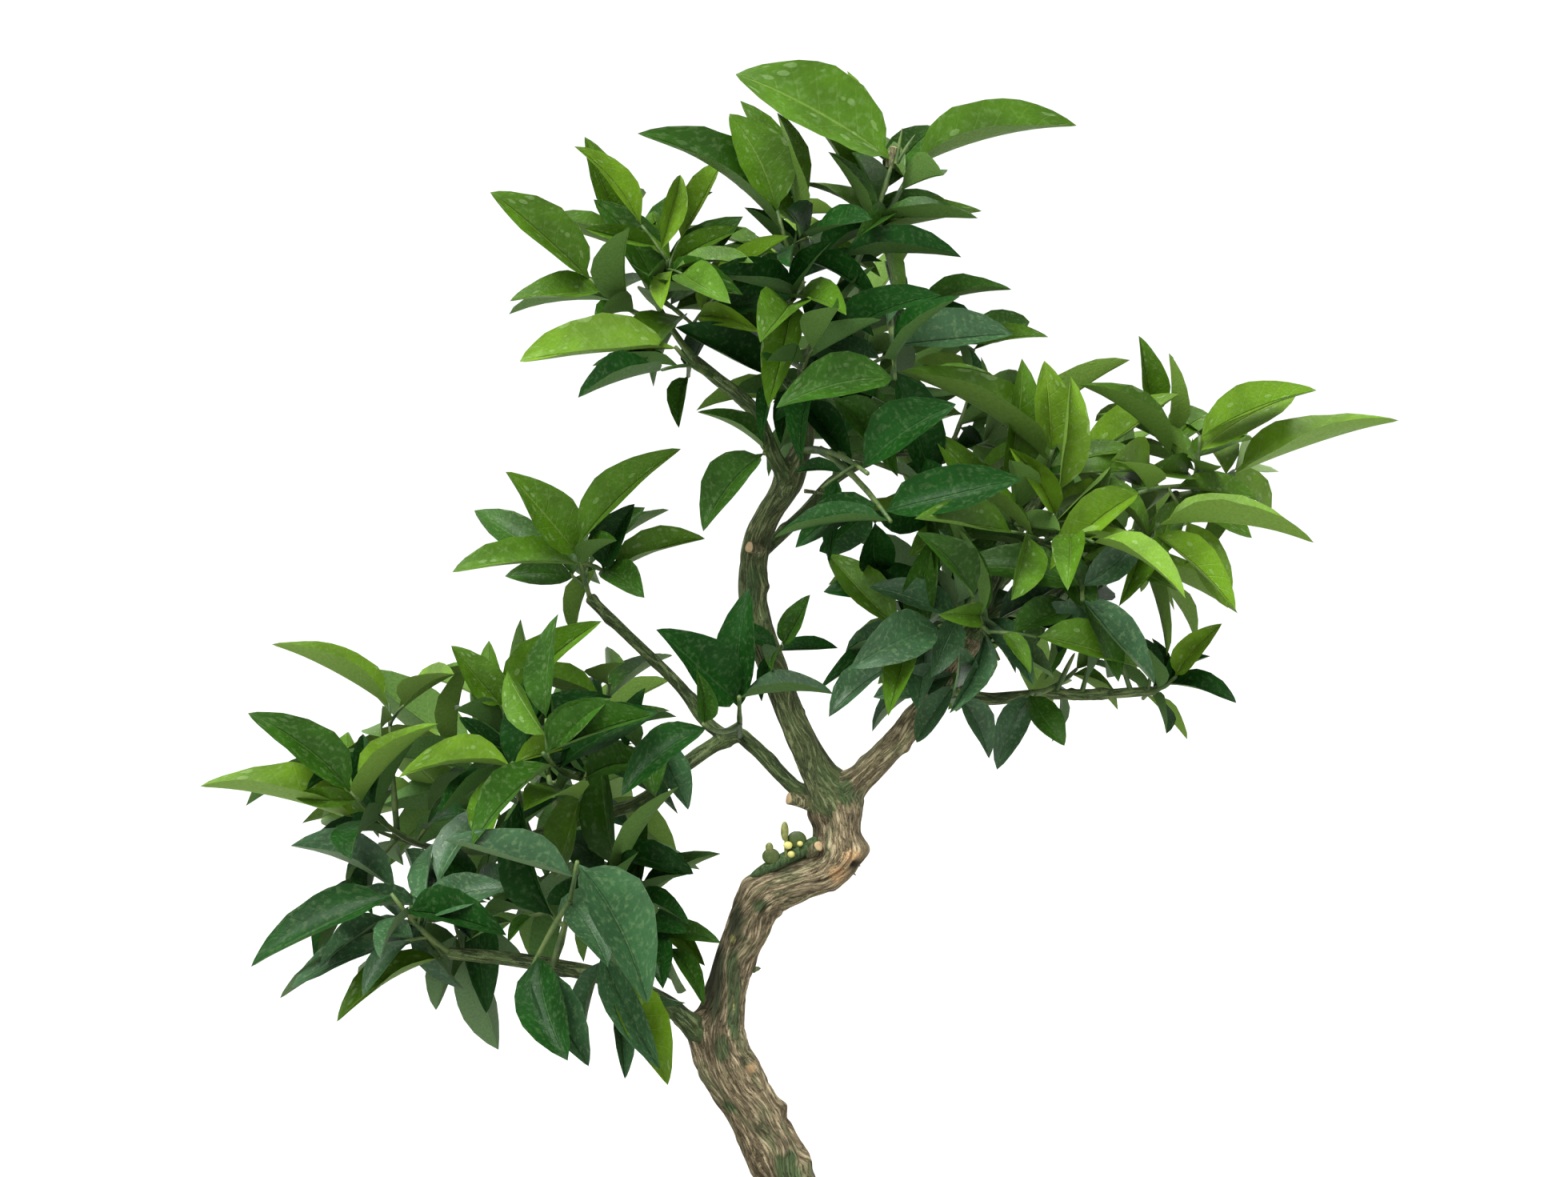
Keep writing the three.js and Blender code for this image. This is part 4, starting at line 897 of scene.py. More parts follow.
def outFrom(path, around):
    one, other = path["side"][:, None], path["cross"][:, None]
    return one * np.cos(around)[..., None] + other * np.sin(around)[..., None]


# Faces of a grid of rows and columns whose last column joins the first
def gridFaces(rows, columns, first=0):
    row, column = np.meshgrid(np.arange(rows - 1), np.arange(columns), indexing="ij")
    here = row * columns + column
    nextOne = row * columns + (column + 1) % columns
    return first + np.stack([here, nextOne, nextOne + columns, here + columns], -1).reshape(-1, 4)


# Leaves

leafShape = dict(
    rows=(0.0, 0.04, 0.11, 0.21, 0.34, 0.49, 0.65, 0.80, 0.92, 1.0), columns=5,
    aimedRows=(0.0, 0.035, 0.08, 0.13, 0.20, 0.28, 0.37, 0.47, 0.57, 0.67, 0.76, 0.84, 0.91, 0.965, 1.0),
    petiole=0.02, petioleShare=0.075, rise=0.64, fall=0.86, bulge=1.25, thick=0.011, folded=1.35,
    wave=0.062, waves=9.5, tipBend=0.3, tipShare=0.72, roll=0.55, sway=0.05, notch=0.03, notches=5.5,
    rolled=16, widest=1.3,
)


# A leaf that stands out of the crown shows one half more than the other: it is rolled about its
# own length until it looks further up, and widened by as much as its look from the front narrows
def rolledUp(leaf):
    if not leaf["isAimed"]:
        return leaf
    side = np.cross(leaf["face"], leaf["along"])
    side = side if side[2] > 0 else -side
    face = turned(leaf["face"], side, math.radians(leafShape["rolled"]))
    narrowed = max(-face[1], 0.2) / max(-leaf["face"][1], 0.2)
    return dict(leaf, face=face, wide=leaf["wide"] * min(1 / narrowed, leafShape["widest"]))


# All leaves of one tone at once. Along a leaf its half width rises as a power of the share and
# falls as another to a drawn-out tip, with a slight ripple. The two halves fold up, the midrib
# bends back by the square of the share and more at the tip, and the rim waves.
def leafPoints(leaves, share, across, above):
    shape = leafShape
    leaves = [rolledUp(leaf) for leaf in leaves]
    names = ("long", "wide", "curl", "fold", "key", "base", "along", "face")
    long, wide, curl, fold, key, base, along, face = (
        np.array([leaf[name] for leaf in leaves])[:, None, None] for name in names)
    side = np.cross(face, along)
    u, v = share[None], across[None]
    body = np.clip((u - shape["petioleShare"]) / (1 - shape["petioleShare"]), 0, 1)
    peak = shape["rise"] / (shape["rise"] + shape["fall"])
    most = peak ** shape["rise"] * (1 - peak) ** shape["fall"]
    half = body ** shape["rise"] * (1 - body) ** shape["fall"] / most
    phase = key * 7.3
    uneven = 1 + shape["notch"] * np.sin(2 * np.pi * shape["notches"] * u + phase * 3 + np.sign(v))
    half = half * uneven * wide * spray["wide"] / 2 + shape["petiole"] * (1 - u) ** 0.25 * (u < 0.99)
    half = half * long
    fold = fold * shape["folded"]
    lift = np.abs(v) ** shape["bulge"] * half * np.sin(fold)
    wave = np.sin(shape["waves"] * u + phase + 1.4 * np.sign(v)) * body * (1 - u)
    lift = lift + shape["wave"] * long * v * v * wave
    lift = lift - (u ** 2 + shape["tipBend"] * np.clip(u - shape["tipShare"], 0, 1) ** 1.5) * long * curl
    twist = shape["roll"] * np.sin(phase * 1.7) * u * u
    offset = v * half * np.cos(fold)
    lift = lift + offset * np.sin(twist) + above[None] * long
    sway = shape["sway"] * long * np.sin(phase * 2.3) * np.sin(np.pi * u)
    points = base + along * (u * long)[..., None] + side * (offset * np.cos(twist) + sway)[..., None]
    return points + face * lift[..., None]


# A closed leaf: an upper and a lower sheet that share the rim, the foot and the tip
def leafTemplate(shares):
    shares = np.array(shares)
    rows, columns = len(shares), leafShape["columns"]
    across = np.linspace(-1, 1, columns)
    u, v = np.meshgrid(shares[1:-1], across, indexing="ij")
    swell = leafShape["thick"] / 2 * (1 - v * v)
    ends = np.array([shares[0], shares[-1]])
    inner = slice(1, columns - 1)
    allU = np.concatenate([u.ravel(), u[:, inner].ravel(), ends])
    allV = np.concatenate([v.ravel(), v[:, inner].ravel(), [0, 0]])
    above = np.concatenate([swell.ravel(), -swell[:, inner].ravel(), [0, 0]])
    body = rows - 2
    upper = np.arange(body * columns).reshape(body, columns)
    lower = upper.copy()
    lower[:, inner] = body * columns + np.arange(body * (columns - 2)).reshape(body, columns - 2)
    foot, tip = len(allU) - 2, len(allU) - 1
    quads, quadUv, thirds, thirdUv = [], [], [], []
    for sheet, isUnder in ((upper, 0), (lower, 1)):
        for i in range(body - 1):
            for j in range(columns - 1):
                ring = [(i, j), (i, j + 1), (i + 1, j + 1), (i + 1, j)]
                ring = ring if isUnder else [ring[0], *ring[:0:-1]]
                quads.append([sheet[a, b] for a, b in ring])
                quadUv.append([flatPlace(shares[a + 1], across[b], isUnder) for a, b in ring])
        for j in range(columns - 1):
            for row, pole, share in ((0, foot, shares[0]), (body - 1, tip, shares[-1])):
                ends = [j, j + 1] if (row == 0) == (isUnder == 0) else [j + 1, j]
                middle = (across[j] + across[j + 1]) / 2
                thirds.append([pole, sheet[row, ends[0]], sheet[row, ends[1]]])
                thirdUv.append([flatPlace(share, middle, isUnder)]
                               + [flatPlace(shares[row + 1], across[b], isUnder) for b in ends])
    return dict(
        u=allU[:, None], v=allV[:, None], above=above[:, None], quads=np.array(quads),
        thirds=np.array(thirds), quadUv=np.array(quadUv), thirdUv=np.array(thirdUv),
    )


# A leaf's place in its cell: across goes over one half of the cell's width, along over its height
def flatPlace(share, across, isUnder):
    return (isUnder + 0.5 + 0.46 * across) / 4, (0.02 + 0.96 * share) / 2


# The tones of the leaves: colours of the upper side, underside, veins and rim, roughness and gloss,
# and how much the veins, the mottling and the painted highlights of water drops show
leafTones = dict(
    lime=((86, 120, 22), (106, 138, 56), (132, 156, 66), (116, 140, 60), 0.42, 0.14, 0.18, 0.1, 0.24),
    fresh=((62, 97, 14), (96, 127, 54), (106, 134, 56), (102, 128, 66), 0.4, 0.14, 0.16, 0.1, 0.22),
    mid=((38, 74, 12), (84, 116, 54), (72, 104, 48), (94, 120, 70), 0.38, 0.12, 0.1, 0.1, 0.1),
    deep=((16, 54, 12), (72, 104, 52), (46, 80, 38), (88, 116, 76), 0.36, 0.08, 0.06, 0.07, 0.03),
    # Deep leaves with a painted sheen: a greyer, bluer upper side, a pale rim as painted highlight and more
    # pale mottling
    dusk=((46, 79, 47), (84, 112, 70), (66, 94, 60), (146, 166, 134), 0.36, 0.24, 0.05, 0.16, 0.03),
)


# A leaf's tone: its mass has one for the young, the grown and the old leaves
def toneOf(leaf):
    if "tone" in leaf:
        return leaf["tone"]
    place = leaf["age"] * 2.2 + 1.3 * (chance(leaf["key"], 6.1) - 0.5)
    return leaf["part"]["mass"]["tones"][int(np.clip(round(place), 0, 2))]


# The points, faces and flat places of leaves that share one template
def leafGroup(leaves, template):
    points = leafPoints(leaves, template["u"], template["v"], template["above"]).reshape(-1, 3)
    starts = (np.arange(len(leaves)) * len(template["u"]))[:, None, None]
    cells = np.array([int(4 * chance(leaf["key"], 9.4)) % 4 for leaf in leaves])
    shift = np.stack([cells % 2, cells // 2], -1)[:, None, None] * 0.5
    faces = [(starts + template[key]).reshape(-1, template[key].shape[1]) for key in ("quads", "thirds")]
    flat = [(shift + template[key][None]).reshape(-1, template[key].shape[1], 2)
            for key in ("quadUv", "thirdUv")]
    return points, faces, flat


def makeLeaves():
    templates = {False: leafTemplate(leafShape["rows"]), True: leafTemplate(leafShape["aimedRows"])}
    for tone, look in leafTones.items():
        chosen = [leaf for leaf in allLeaves if toneOf(leaf) == tone]
        points, faces, flat = np.zeros((0, 3)), [], []
        for isAimed, template in templates.items():
            group = [leaf for leaf in chosen if leaf["isAimed"] == isAimed]
            if group:
                some, theirFaces, theirFlat = leafGroup(group, template)
                faces += [part + len(points) for part in theirFaces]
                flat += theirFlat
                points = np.vstack([points, some])
        finish = leafFinish("leaf" + tone.capitalize(), *look)
        piece = newPiece("leaves" + tone.capitalize(), points, faces, finish, flat, sharp=60)
        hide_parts(*sorted({leaf["part"]["name"] for leaf in chosen}))
        print("leaves", tone, len(chosen), "faces", sum(map(len, faces)))


makeLeaves()

# Wood


# Numbers between -1 and 1 that change smoothly over space: random ones at whole places,
# blended between their eight neighbours
def smoothNoise(points, seed):
    low = np.floor(points).astype(np.int64)
    f = points - low
    f = f * f * (3 - 2 * f)
    total = np.zeros(points.shape[:-1])
    for corner in range(8):
        step = np.array([corner & 1, corner >> 1 & 1, corner >> 2 & 1])
        at = low + step
        mixed = at[..., 0] * 374761393 + at[..., 1] * 668265263 + at[..., 2] * 2147483647 + seed * 1274126177
        mixed = (mixed ^ (mixed >> 13)) * 1274126177
        value = ((mixed ^ (mixed >> 16)) & 0xFFFFFF) / 0x7FFFFF - 1
        weight = np.where(step == 1, f, 1 - f).prod(-1)
        total += weight * value
    return total


# A path cut into even steps of about one length, with a direction carried along it so that
# rings round it don't twist: centres, two directions across, and the share of each step
def evenPath(curve, step):
    measured = np.linspace(0, 1, 400)
    gone = np.concatenate([[0], np.cumsum(np.linalg.norm(np.diff(curve(measured), axis=0), axis=1))])
    count = max(int(gone[-1] / step), 4)
    length = np.linspace(0, gone[-1], count + 1)
    shares = np.interp(length, gone, measured)
    centres = curve(shares)
    ahead = np.gradient(centres, axis=0)
    ahead /= np.linalg.norm(ahead, axis=1)[:, None]
    side = np.array([0.9, 0.4, 0.1])
    sides = []
    for direction in ahead:
        side = unit(side - direction * side.dot(direction))
        sides.append(side)
    sides = np.array(sides)
    cross = np.cross(sides, ahead)
    return dict(centres=centres, side=sides, cross=cross, shares=shares, length=length, ahead=ahead)


bark = dict(
    step=0.55, lobes=0.05, warp=0.36, warpSize=11.0, fillet=1.1, endRows=7,
    grains=((1.9, 19.0, 0.5, 0.19), (1.1, 11.0, 0.3, 0.24), (4.6, 13.0, 0.45, 0.2)),
    deepest=0.62, uneven=0.3, fullRadius=8.0, thickness=(0.25, 1.15),
)


# What shows on the bark in front: its place in the photograph, radius in millimetres, how far it
# stands out, how much taller than wide it is, and how much of it is bare wood, darkened (painted shade
# in creases, holes and on the shaded side, and darker knots), green or lichen
def mark(x, y, size, height, tall=1, **masks):
    return dict(place=placeInPhoto(x, y), size=size, height=height, tall=tall, masks=masks)


barkMarks = dict(
    elbowWound=mark(1047, 1088, 4.0, -0.5, bare=0.95),
    elbowLip=mark(1060, 1068, 4.0, 1.8, bare=0.75),
    elbowBulge=mark(1077, 1058, 3.2, 2.9),
    # Painted shade in the hole under the elbow's lip
    elbowHole=mark(1069, 1077, 1.5, -1.8, dark=1.6),
    elbowUnder=mark(1040, 1108, 3.0, 0.9, bare=0.4),
    # Painted shade in the creases of the crotch and the neck
    crotchCrease=mark(1013, 1036, 2.8, -1.6, dark=1.3),
    neckCrease=mark(1030, 1024, 2.4, -0.8, dark=0.6),
    crotchGreen=mark(1058, 985, 3.2, 0.2, green=0.95, tall=2.0),
    eyeKnot=mark(975, 1112, 2.0, 0.9, dark=0.4),
    cornerKnob=mark(931, 1099, 3.2, 2.2, dark=0.2),
    # Painted shade in the hollow by the knob
    cornerHollow=mark(943, 1125, 2.2, -0.8, dark=0.5),
    lichen=mark(917, 1170, 1.7, 0.4, lichen=1.2, tall=1.6),
    greenStripe=mark(917, 1235, 2.2, 0.5, green=1.3, tall=7.0),
    stripeFlecks=mark(917, 1250, 0.9, 0.3, lichen=0.85, tall=12.0),
    stripeLow=mark(903, 1305, 3.0, -0.4, green=1.2, tall=1.6),
    # Painted shade down the trunk's shaded left side, with moss green in it
    leftShade=mark(892, 1215, 4.4, -0.3, dark=1.1, green=0.9, tall=4.4),
    neckShade=mark(919, 1150, 4.2, -0.2, dark=0.9, green=0.7, tall=2.6),
    # Painted shade at the elbow, with a little moss green
    elbowShade=mark(985, 1082, 6.0, 0.0, dark=0.35, green=0.3, tall=0.5),
    lowStripes=mark(982, 1450, 4.6, -0.3, green=0.9),
    midTan=mark(955, 1180, 3.2, 0.3, bare=0.3, tall=2.4),
    orangeScar=mark(938, 1332, 2.2, 0.5, bare=0.9),
    rightSpur=mark(950, 1211, 1.5, 2.4, dark=0.4),
    lowKnob=mark(981, 1380, 2.2, 3.0, dark=0.5),
    lowKnot=mark(952, 1402, 2.4, 0.9, dark=0.5),
    lowKnotRim=mark(945, 1392, 1.8, 0.7, bare=0.3),
    lowRidge=mark(1012, 1438, 3.4, 4.4, bare=0.4, tall=1.5),
    # Painted shade in the low hollow, with moss green
    lowHollow=mark(990, 1440, 2.8, -0.9, dark=0.3, green=0.8),
    leftGreen=mark(912, 1378, 2.6, -0.2, green=0.8),
    kneeGreen=mark(950, 1128, 3.4, -0.3, green=0.9),
    lowGreen=mark(985, 1462, 4.2, -0.3, green=1.0),
    jointKnob=mark(869, 1272, 1.8, 2.4, dark=0.5),
    leaderKnot=mark(961, 733, 1.8, 2.2, dark=0.5),
    leaderKnob=mark(928, 765, 1.7, 2.2, dark=0.3),
    leaderRing=mark(985, 615, 2.2, 0.7, dark=0.2),
    boughSpots=mark(1108, 985, 2.0, 0.3, green=0.8),
    boughKnob=mark(1136, 938, 1.8, 2.2, dark=0.3),
    # Painted shade in the fork, with a little moss green
    forkShade=mark(1022, 985, 5.0, 0.0, dark=0.35, green=0.35, tall=1.5),
    leaderGreen=mark(940, 735, 2.6, 0.0, green=0.9, tall=4.0),
    boughUnder=mark(1075, 1005, 2.0, 0.9),
)

# Knots and old leaf scars dealt out along every limb: one for each so many millimetres, each with
# a narrower dent in it, and dark there
knots = dict(
    apart=9.0, size=(0.8, 2.0), height=(0.35, 1.35), taller=0.8, dent=0.5, dentNarrower=2.6,
    dark=0.6, darkNarrower=2.4, least=0.75,
)

# Millimetres that the bark adds to the radius of a thin limb
stouter = dict(bough_isolated=0.45, bough_mid_left=0.25, bough_low_right=0.2)


# Below zero inside a limb, above zero outside: the least distance to its centres less its radius
def distanceTo(name, points):
    shares = np.linspace(0, 1, 48)
    centres, radii = alongCourse(limbCourse(name), shares), limbRadius(name, shares)
    nearest = np.full(points.shape[:-1], 1e3)
    for centre, radius in zip(centres, radii):
        nearest = np.minimum(nearest, np.linalg.norm(points - centre, axis=-1) - radius)
    return nearest


# How far the bark rises into the corner with each neighbour: the square of what is left of the
# fillet's reach at that distance, over four times the reach
def filletRise(name, points):
    rise = np.zeros(points.shape[:-1])
    start = limbs[name]["start"]
    for other in limbs:
        otherStart = limbs[other]["start"]
        isChild = otherStart and otherStart[0] == name
        isParent = start and start[0] == other
        if other == name or not (isChild or isParent or otherStart == start):
            continue
        reach = bark["fillet"] * min(limbs[name]["radius"][0], limbs[other]["radius"][0])
        gap = np.clip(distanceTo(other, points), 0, reach)
        rise = np.maximum(rise, (reach - gap) ** 2 / (4 * reach))
    return rise


# The path with a half ball at each end: rows past the ends by the sine of an angle, their
# radius less by its cosine
def ballEnds(path, radii):
    turn = np.linspace(0, 1, bark["endRows"] + 1)[1:] * math.pi / 2 * 0.97
    rows = np.pad(np.arange(len(radii)), len(turn), mode="edge")
    beyond = np.concatenate([-np.sin(turn[::-1]) * radii[0], np.zeros(len(radii)), np.sin(turn) * radii[-1]])
    less = np.concatenate([np.cos(turn[::-1]), np.ones(len(radii)), np.cos(turn)])
    return dict(
        centres=path["centres"][rows] + path["ahead"][rows] * beyond[:, None],
        side=path["side"][rows], cross=path["cross"][rows], ahead=path["ahead"][rows],
        shares=path["shares"][rows], length=path["length"][rows] + beyond, less=less,
    )


# The bark's surface over the steps of a limb's path and the way round it. The radius of the
# solid leans out in slow lobes and rises into the corners with other limbs. It is split by
# fissures, drawn out along the limb, where a warped noise passes through zero, and stands out
# or in by a bell at each knot and each mark in front.
def barkLimb(name, sides, amount):
    path = evenPath(lambda shares: alongCourse(limbCourse(name), shares), bark["step"])
    path = ballEnds(path, limbRadius(name, path["shares"]))
    around = turnsRound(sides)[None]
    share, length, less = path["shares"][:, None], path["length"][:, None], path["less"][:, None]
    plain = limbRadius(name, share, around) + 0 * around
    radius = plain * (1 + bark["lobes"] * np.cos(2 * around + length * 0.05 + 1)
                      + bark["lobes"] * 0.7 * np.cos(3 * around - length * 0.09))
    out, centres = outFrom(path, around), path["centres"][:, None]
    radius = radius + filletRise(name, centres + out * (radius * less)[..., None])
    seed = len(name) + sum(map(ord, name[-3:]))
    ringPlace = [np.cos(around) + 0 * length, np.sin(around) + 0 * length]
    lean = smoothNoise(np.stack([length / bark["warpSize"] + 0 * around, *ringPlace], -1), seed)
    turn = around + bark["warp"] * lean
    straight = np.stack([np.cos(turn) * plain, np.sin(turn) * plain, length + 0 * around], -1)
    fissure, relief = np.zeros(plain.shape), np.zeros(plain.shape)
    for k, (across, along, depth, narrow) in enumerate(bark["grains"]):
        value = smoothNoise(straight / [across, across, along], seed + k)
        cut = np.exp(-(value / narrow) ** 2)
        fissure = np.maximum(fissure, cut * depth / bark["deepest"])
        relief = relief - depth * cut + bark["uneven"] * depth * value
    thickness = np.clip(plain / bark["fullRadius"], *bark["thickness"])
    stands = np.maximum(thickness, knots["least"])
    relief = relief * amount * thickness + stouter.get(name, 0)
    masks = {key: 0 * plain for key in ("bare", "dark", "green", "lichen")}
    masks["fissure"] = fissure * amount ** 0.5
    random = np.random.default_rng(seed)
    for _ in range(int(path["length"][-1] / knots["apart"]) + 1):
        place, way = random.uniform(0, path["length"][-1]), random.uniform(0, 2 * math.pi)
        size, high = random.uniform(*knots["size"]), random.uniform(*knots["height"])
        gone = np.abs((around - way + math.pi) % (2 * math.pi) - math.pi) * plain
        far = np.hypot(gone, (length - place) * knots["taller"]) / size
        dent = knots["dent"] * np.exp(-(far * knots["dentNarrower"]) ** 2)
        relief = relief + high * stands * (np.exp(-far ** 2) - dent)
        hollow = knots["dark"] * np.exp(-(far * knots["darkNarrower"]) ** 2)
        masks["dark"] = np.maximum(masks["dark"], hollow)
    points = centres + out * ((radius + relief) * less)[..., None]
    front = np.clip(0.5 - out[..., 1] * 1.2, 0, 1)
    for spot in barkMarks.values():
        x, z = spot["place"]
        far = np.hypot(points[..., 0] - x, (points[..., 2] - z) / spot["tall"]) / spot["size"]
        bell = np.exp(-far ** 2) * front * less
        points = points + out * (bell * spot["height"])[..., None]
        for key, amount in spot["masks"].items():
            masks[key] = np.maximum(masks[key], bell * amount)
    return points, masks, straight


# A tube's grid of points as a closed surface: its faces turned outwards, a point at each end
def closedTube(points, first=0):
    rows, sides = points.shape[:2]
    flat = np.vstack([points.reshape(-1, 3), points[0].mean(0), points[-1].mean(0)])
    quads = gridFaces(rows, sides)[:, ::-1]
    j = np.arange(sides)
    k = (j + 1) % sides
    start = np.stack([np.full(sides, rows * sides), j, k], -1)
    last = (rows - 1) * sides
    end = np.stack([np.full(sides, rows * sides + 1), last + k, last + j], -1)
    return flat, quads + first, np.vstack([start, end]) + first


# The light tones are the pale fibres on the raised strands, lifted further by a painted highlight
barkColors = dict(
    light=(204, 188, 154), plate=(152, 137, 106), low=(108, 97, 72), fissure=(50, 44, 31), dark=(34, 29, 20),
    youngLight=(142, 154, 106), young=(98, 117, 68), youngLow=(56, 73, 41), moss=(66, 90, 52),
    lichen=(176, 178, 104), wound=(164, 130, 90), bareWood=(204, 170, 124),
)
barkGrain = dict(strand=(1.2, 1.2, 0.15), plates=(0.2, 0.2, 0.07), split=0.034, fibreAndHighlight=(0.5, 0.68))


# Cream fibres on tan bark between dark fissures, the raised strands lighter still by a painted
# highlight, greener on the young wood, with moss, bare scars, darker knots, and painted shade in the
# hollows and on the shaded side where the piece's own numbers put them. The grain is drawn out along
# the limb by the straightened place that every point of the bark carries.
def barkFinish():
    finish = Finish("bark", 0.85, 0.25)
    colors = {key: linear(*color) for key, color in barkColors.items()}
    straight = finish.attribute("straight", 1)
    strand = finish.noise(finish.scaled(straight, barkGrain["strand"]), 1.0, 5.0, 0.62)
    plates = finish.noise(finish.scaled(straight, barkGrain["plates"]), 1.0, 3.0, 0.6)
    fine = finish.noise(straight, 2.6, 4.0, 0.7)
    split = 1.0 - abs(strand - 0.47).between(0.0, barkGrain["split"])
    fibreAndHighlight = (strand + (fine - 0.5) * 0.35).between(*barkGrain["fibreAndHighlight"])
    fissure = finish.attribute("fissure")
    young = finish.attribute("young")
    old = finish.mix((plates + fine * 0.3).between(0.5, 0.78), colors["low"], colors["plate"])
    # The raised strands: pale fibres, lighter still by a painted highlight
    old = finish.mix(fibreAndHighlight * 0.7, old, colors["light"])
    fresh = finish.mix((plates + fine * 0.3).between(0.5, 0.8), colors["youngLow"], colors["young"])
    fresh = finish.mix(fibreAndHighlight * 0.6, fresh, colors["youngLight"])
    color = finish.mix(young, old, fresh)
    moss = plates.between(0.5, 0.62) * (1.0 - fibreAndHighlight * 0.7)
    color = finish.mix(moss * 0.6, color, colors["moss"])
    green = finish.attribute("green")
    color = finish.mix((green + (plates - 0.5) * 1.2).between(0.3, 0.7) * 0.85, color, colors["moss"])
    color = finish.mix((finish.attribute("lichen") * fine * 2.0).between(0.75, 0.95), color, colors["lichen"])
    bare = finish.attribute("bare")
    scar = (bare + (fine - 0.5) * 0.9 + (strand - 0.5) * 0.6).between(0.35, 0.8)
    wood = finish.mix(fine.between(0.3, 0.7), colors["wound"], colors["bareWood"])
    color = finish.mix(scar * 0.9, color, wood)
    worn = 1.0 - young * 0.6
    color = finish.mix(split * (1.0 - bare) * worn * 0.72, color, colors["fissure"])
    deep = (fissure + (fine - 0.5) * 0.6).between(0.4, 1.0)
    color = finish.mix(deep * worn * 0.62, color, colors["fissure"])
    # Painted shade in creases, holes, hollows and down the trunk's shaded left side, and the darker knots
    color = finish.mix(finish.attribute("dark") * 0.8, color, colors["dark"])
    finish.feed("Base Color", color)
    finish.feed("Roughness", fine * 0.2 + 0.72)
    finish.bump(strand * 0.9 - split * 0.7 + fine * 0.5, 0.7 * mm, 0.85)
    return finish.material


barkMaterial = barkFinish()

# How young each limb's bark looks, how deep it is cut, and how many points go round it
limbBark = {
    "trunk": (0.0, 1.0, 144), "leader": (0.85, 0.8, 84), "bough_right": (0.15, 0.95, 84),
    "bough_lower_left": (1.0, 0.5, 52), "bough_mid_left": (1.0, 0.7, 36),
}
plainLimb = (1.0, 0.55, 34)


def makeLimbs():
    for name in limbs:
        young, amount, sides = limbBark.get(name, plainLimb)
        points, masks, straight = barkLimb(name, sides, amount)
        flat, quads, thirds = closedTube(points)
        numbers = {key: np.append(mask.ravel(), [0, 0]) for key, mask in masks.items()}
        numbers["young"] = np.full(len(flat), young)
        numbers["straight"] = closedTube(straight)[0]
        slot = "bark" if name in ("trunk", "leader", "bough_right") else "young_bark"
        title = "bark" + "".join(word.capitalize() for word in name.split("_"))
        piece = newPiece(title, flat, [quads, thirds], barkMaterial, numbers=numbers)
        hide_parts(name)


makeLimbs()
print("bark made")

# Twigs

twigShape = dict(sides=6, rows=7, fine=0.55, swelling=0.14, swellings=17, tip=0.85)


# All twigs at once: rings along each curve, thinning from its foot to its tip, a little thicker
# here and there
def twigTubes(curves, thick, thin):
    shape = twigShape
    share = np.linspace(0, 1, shape["rows"])
    around = turnsRound(shape["sides"])
    points, quads, thirds = [], [], []
    for curve, wide, narrow in zip(curves, thick, thin):
        centres = np.array([bend(curve, s) for s in share])
        ahead = unit(curve[2] - curve[0])
        side = unit(np.cross(ahead, [0.31, 0.2, 0.93]))
        cross = np.cross(side, ahead)
        radius = wide + (narrow - wide) * share
        radius = radius * (1 + shape["swelling"] * np.sin(share * shape["swellings"] + wide * 40))
        ring = np.cos(around)[:, None] * side + np.sin(around)[:, None] * cross
        grid = centres[:, None] + ring[None] * radius[:, None, None]
        flat, four, three = closedTube(grid, sum(map(len, points)))
        points.append(flat)
        quads.append(four)
        thirds.append(three)
    return np.vstack(points), [np.vstack(quads), np.vstack(thirds)]


def twigFinish():
    finish = Finish("twigBark", 0.6)
    place = finish.place()
    mottled = finish.noise(place, 160.0, 3.0).between(0.42, 0.62)
    fine = finish.noise(place, 900.0, 3.0)
    color = finish.mix(mottled, linear(50, 84, 26), linear(88, 110, 50))
    finish.feed("Base Color", finish.mix(fine * 0.35, color, linear(58, 56, 32)))
    finish.feed("Roughness", fine * 0.2 + 0.5)
    finish.bump(fine + mottled * 0.5, 0.3 * mm, 0.5)
    return finish.material


twigMaterial = twigFinish()


def makeTwigs():
    curves, thick, thin = [], [], []
    for part in crown.parts:
        limbThere = float(limbRadius(*part["mass"]["start"]))
        for curve in part["curves"]:
            run = np.linalg.norm(curve[2] - curve[0])
            wanted = twigRule["tip"] + twigRule["perLength"] * run * 1.06
            curves.append(curve)
            thick.append(min(wanted, twigRule["most"], twigRule["ofLimb"] * limbThere))
            thin.append(twigRule["tip"] * twigShape["tip"])
    points, faces = twigTubes(curves, thick, thin)
    twigs = newPiece("greenTwigs", points, faces, twigMaterial)
    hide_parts(*masses)
    fine = twigShape["fine"]
    points, faces = twigTubes(fineTwigs, [fine * 1.2] * len(fineTwigs), [fine] * len(fineTwigs))
    newPiece("fineTwigs", points, faces, twigMaterial)


makeTwigs()
print("twigs made:", len(fineTwigs), "fine ones")

# Small things on the wood


# Cut stubs, spurs and young side shoots: where in the photograph they leave the wood and where they
# end, the depths of both, below zero towards the front, and both radii
def stub(foot, end, depth, radius, cut=False, leafy=False, green=0.0):
    return dict(ends=(foot, end), depth=depth, radius=radius, cut=cut, leafy=leafy, green=green)


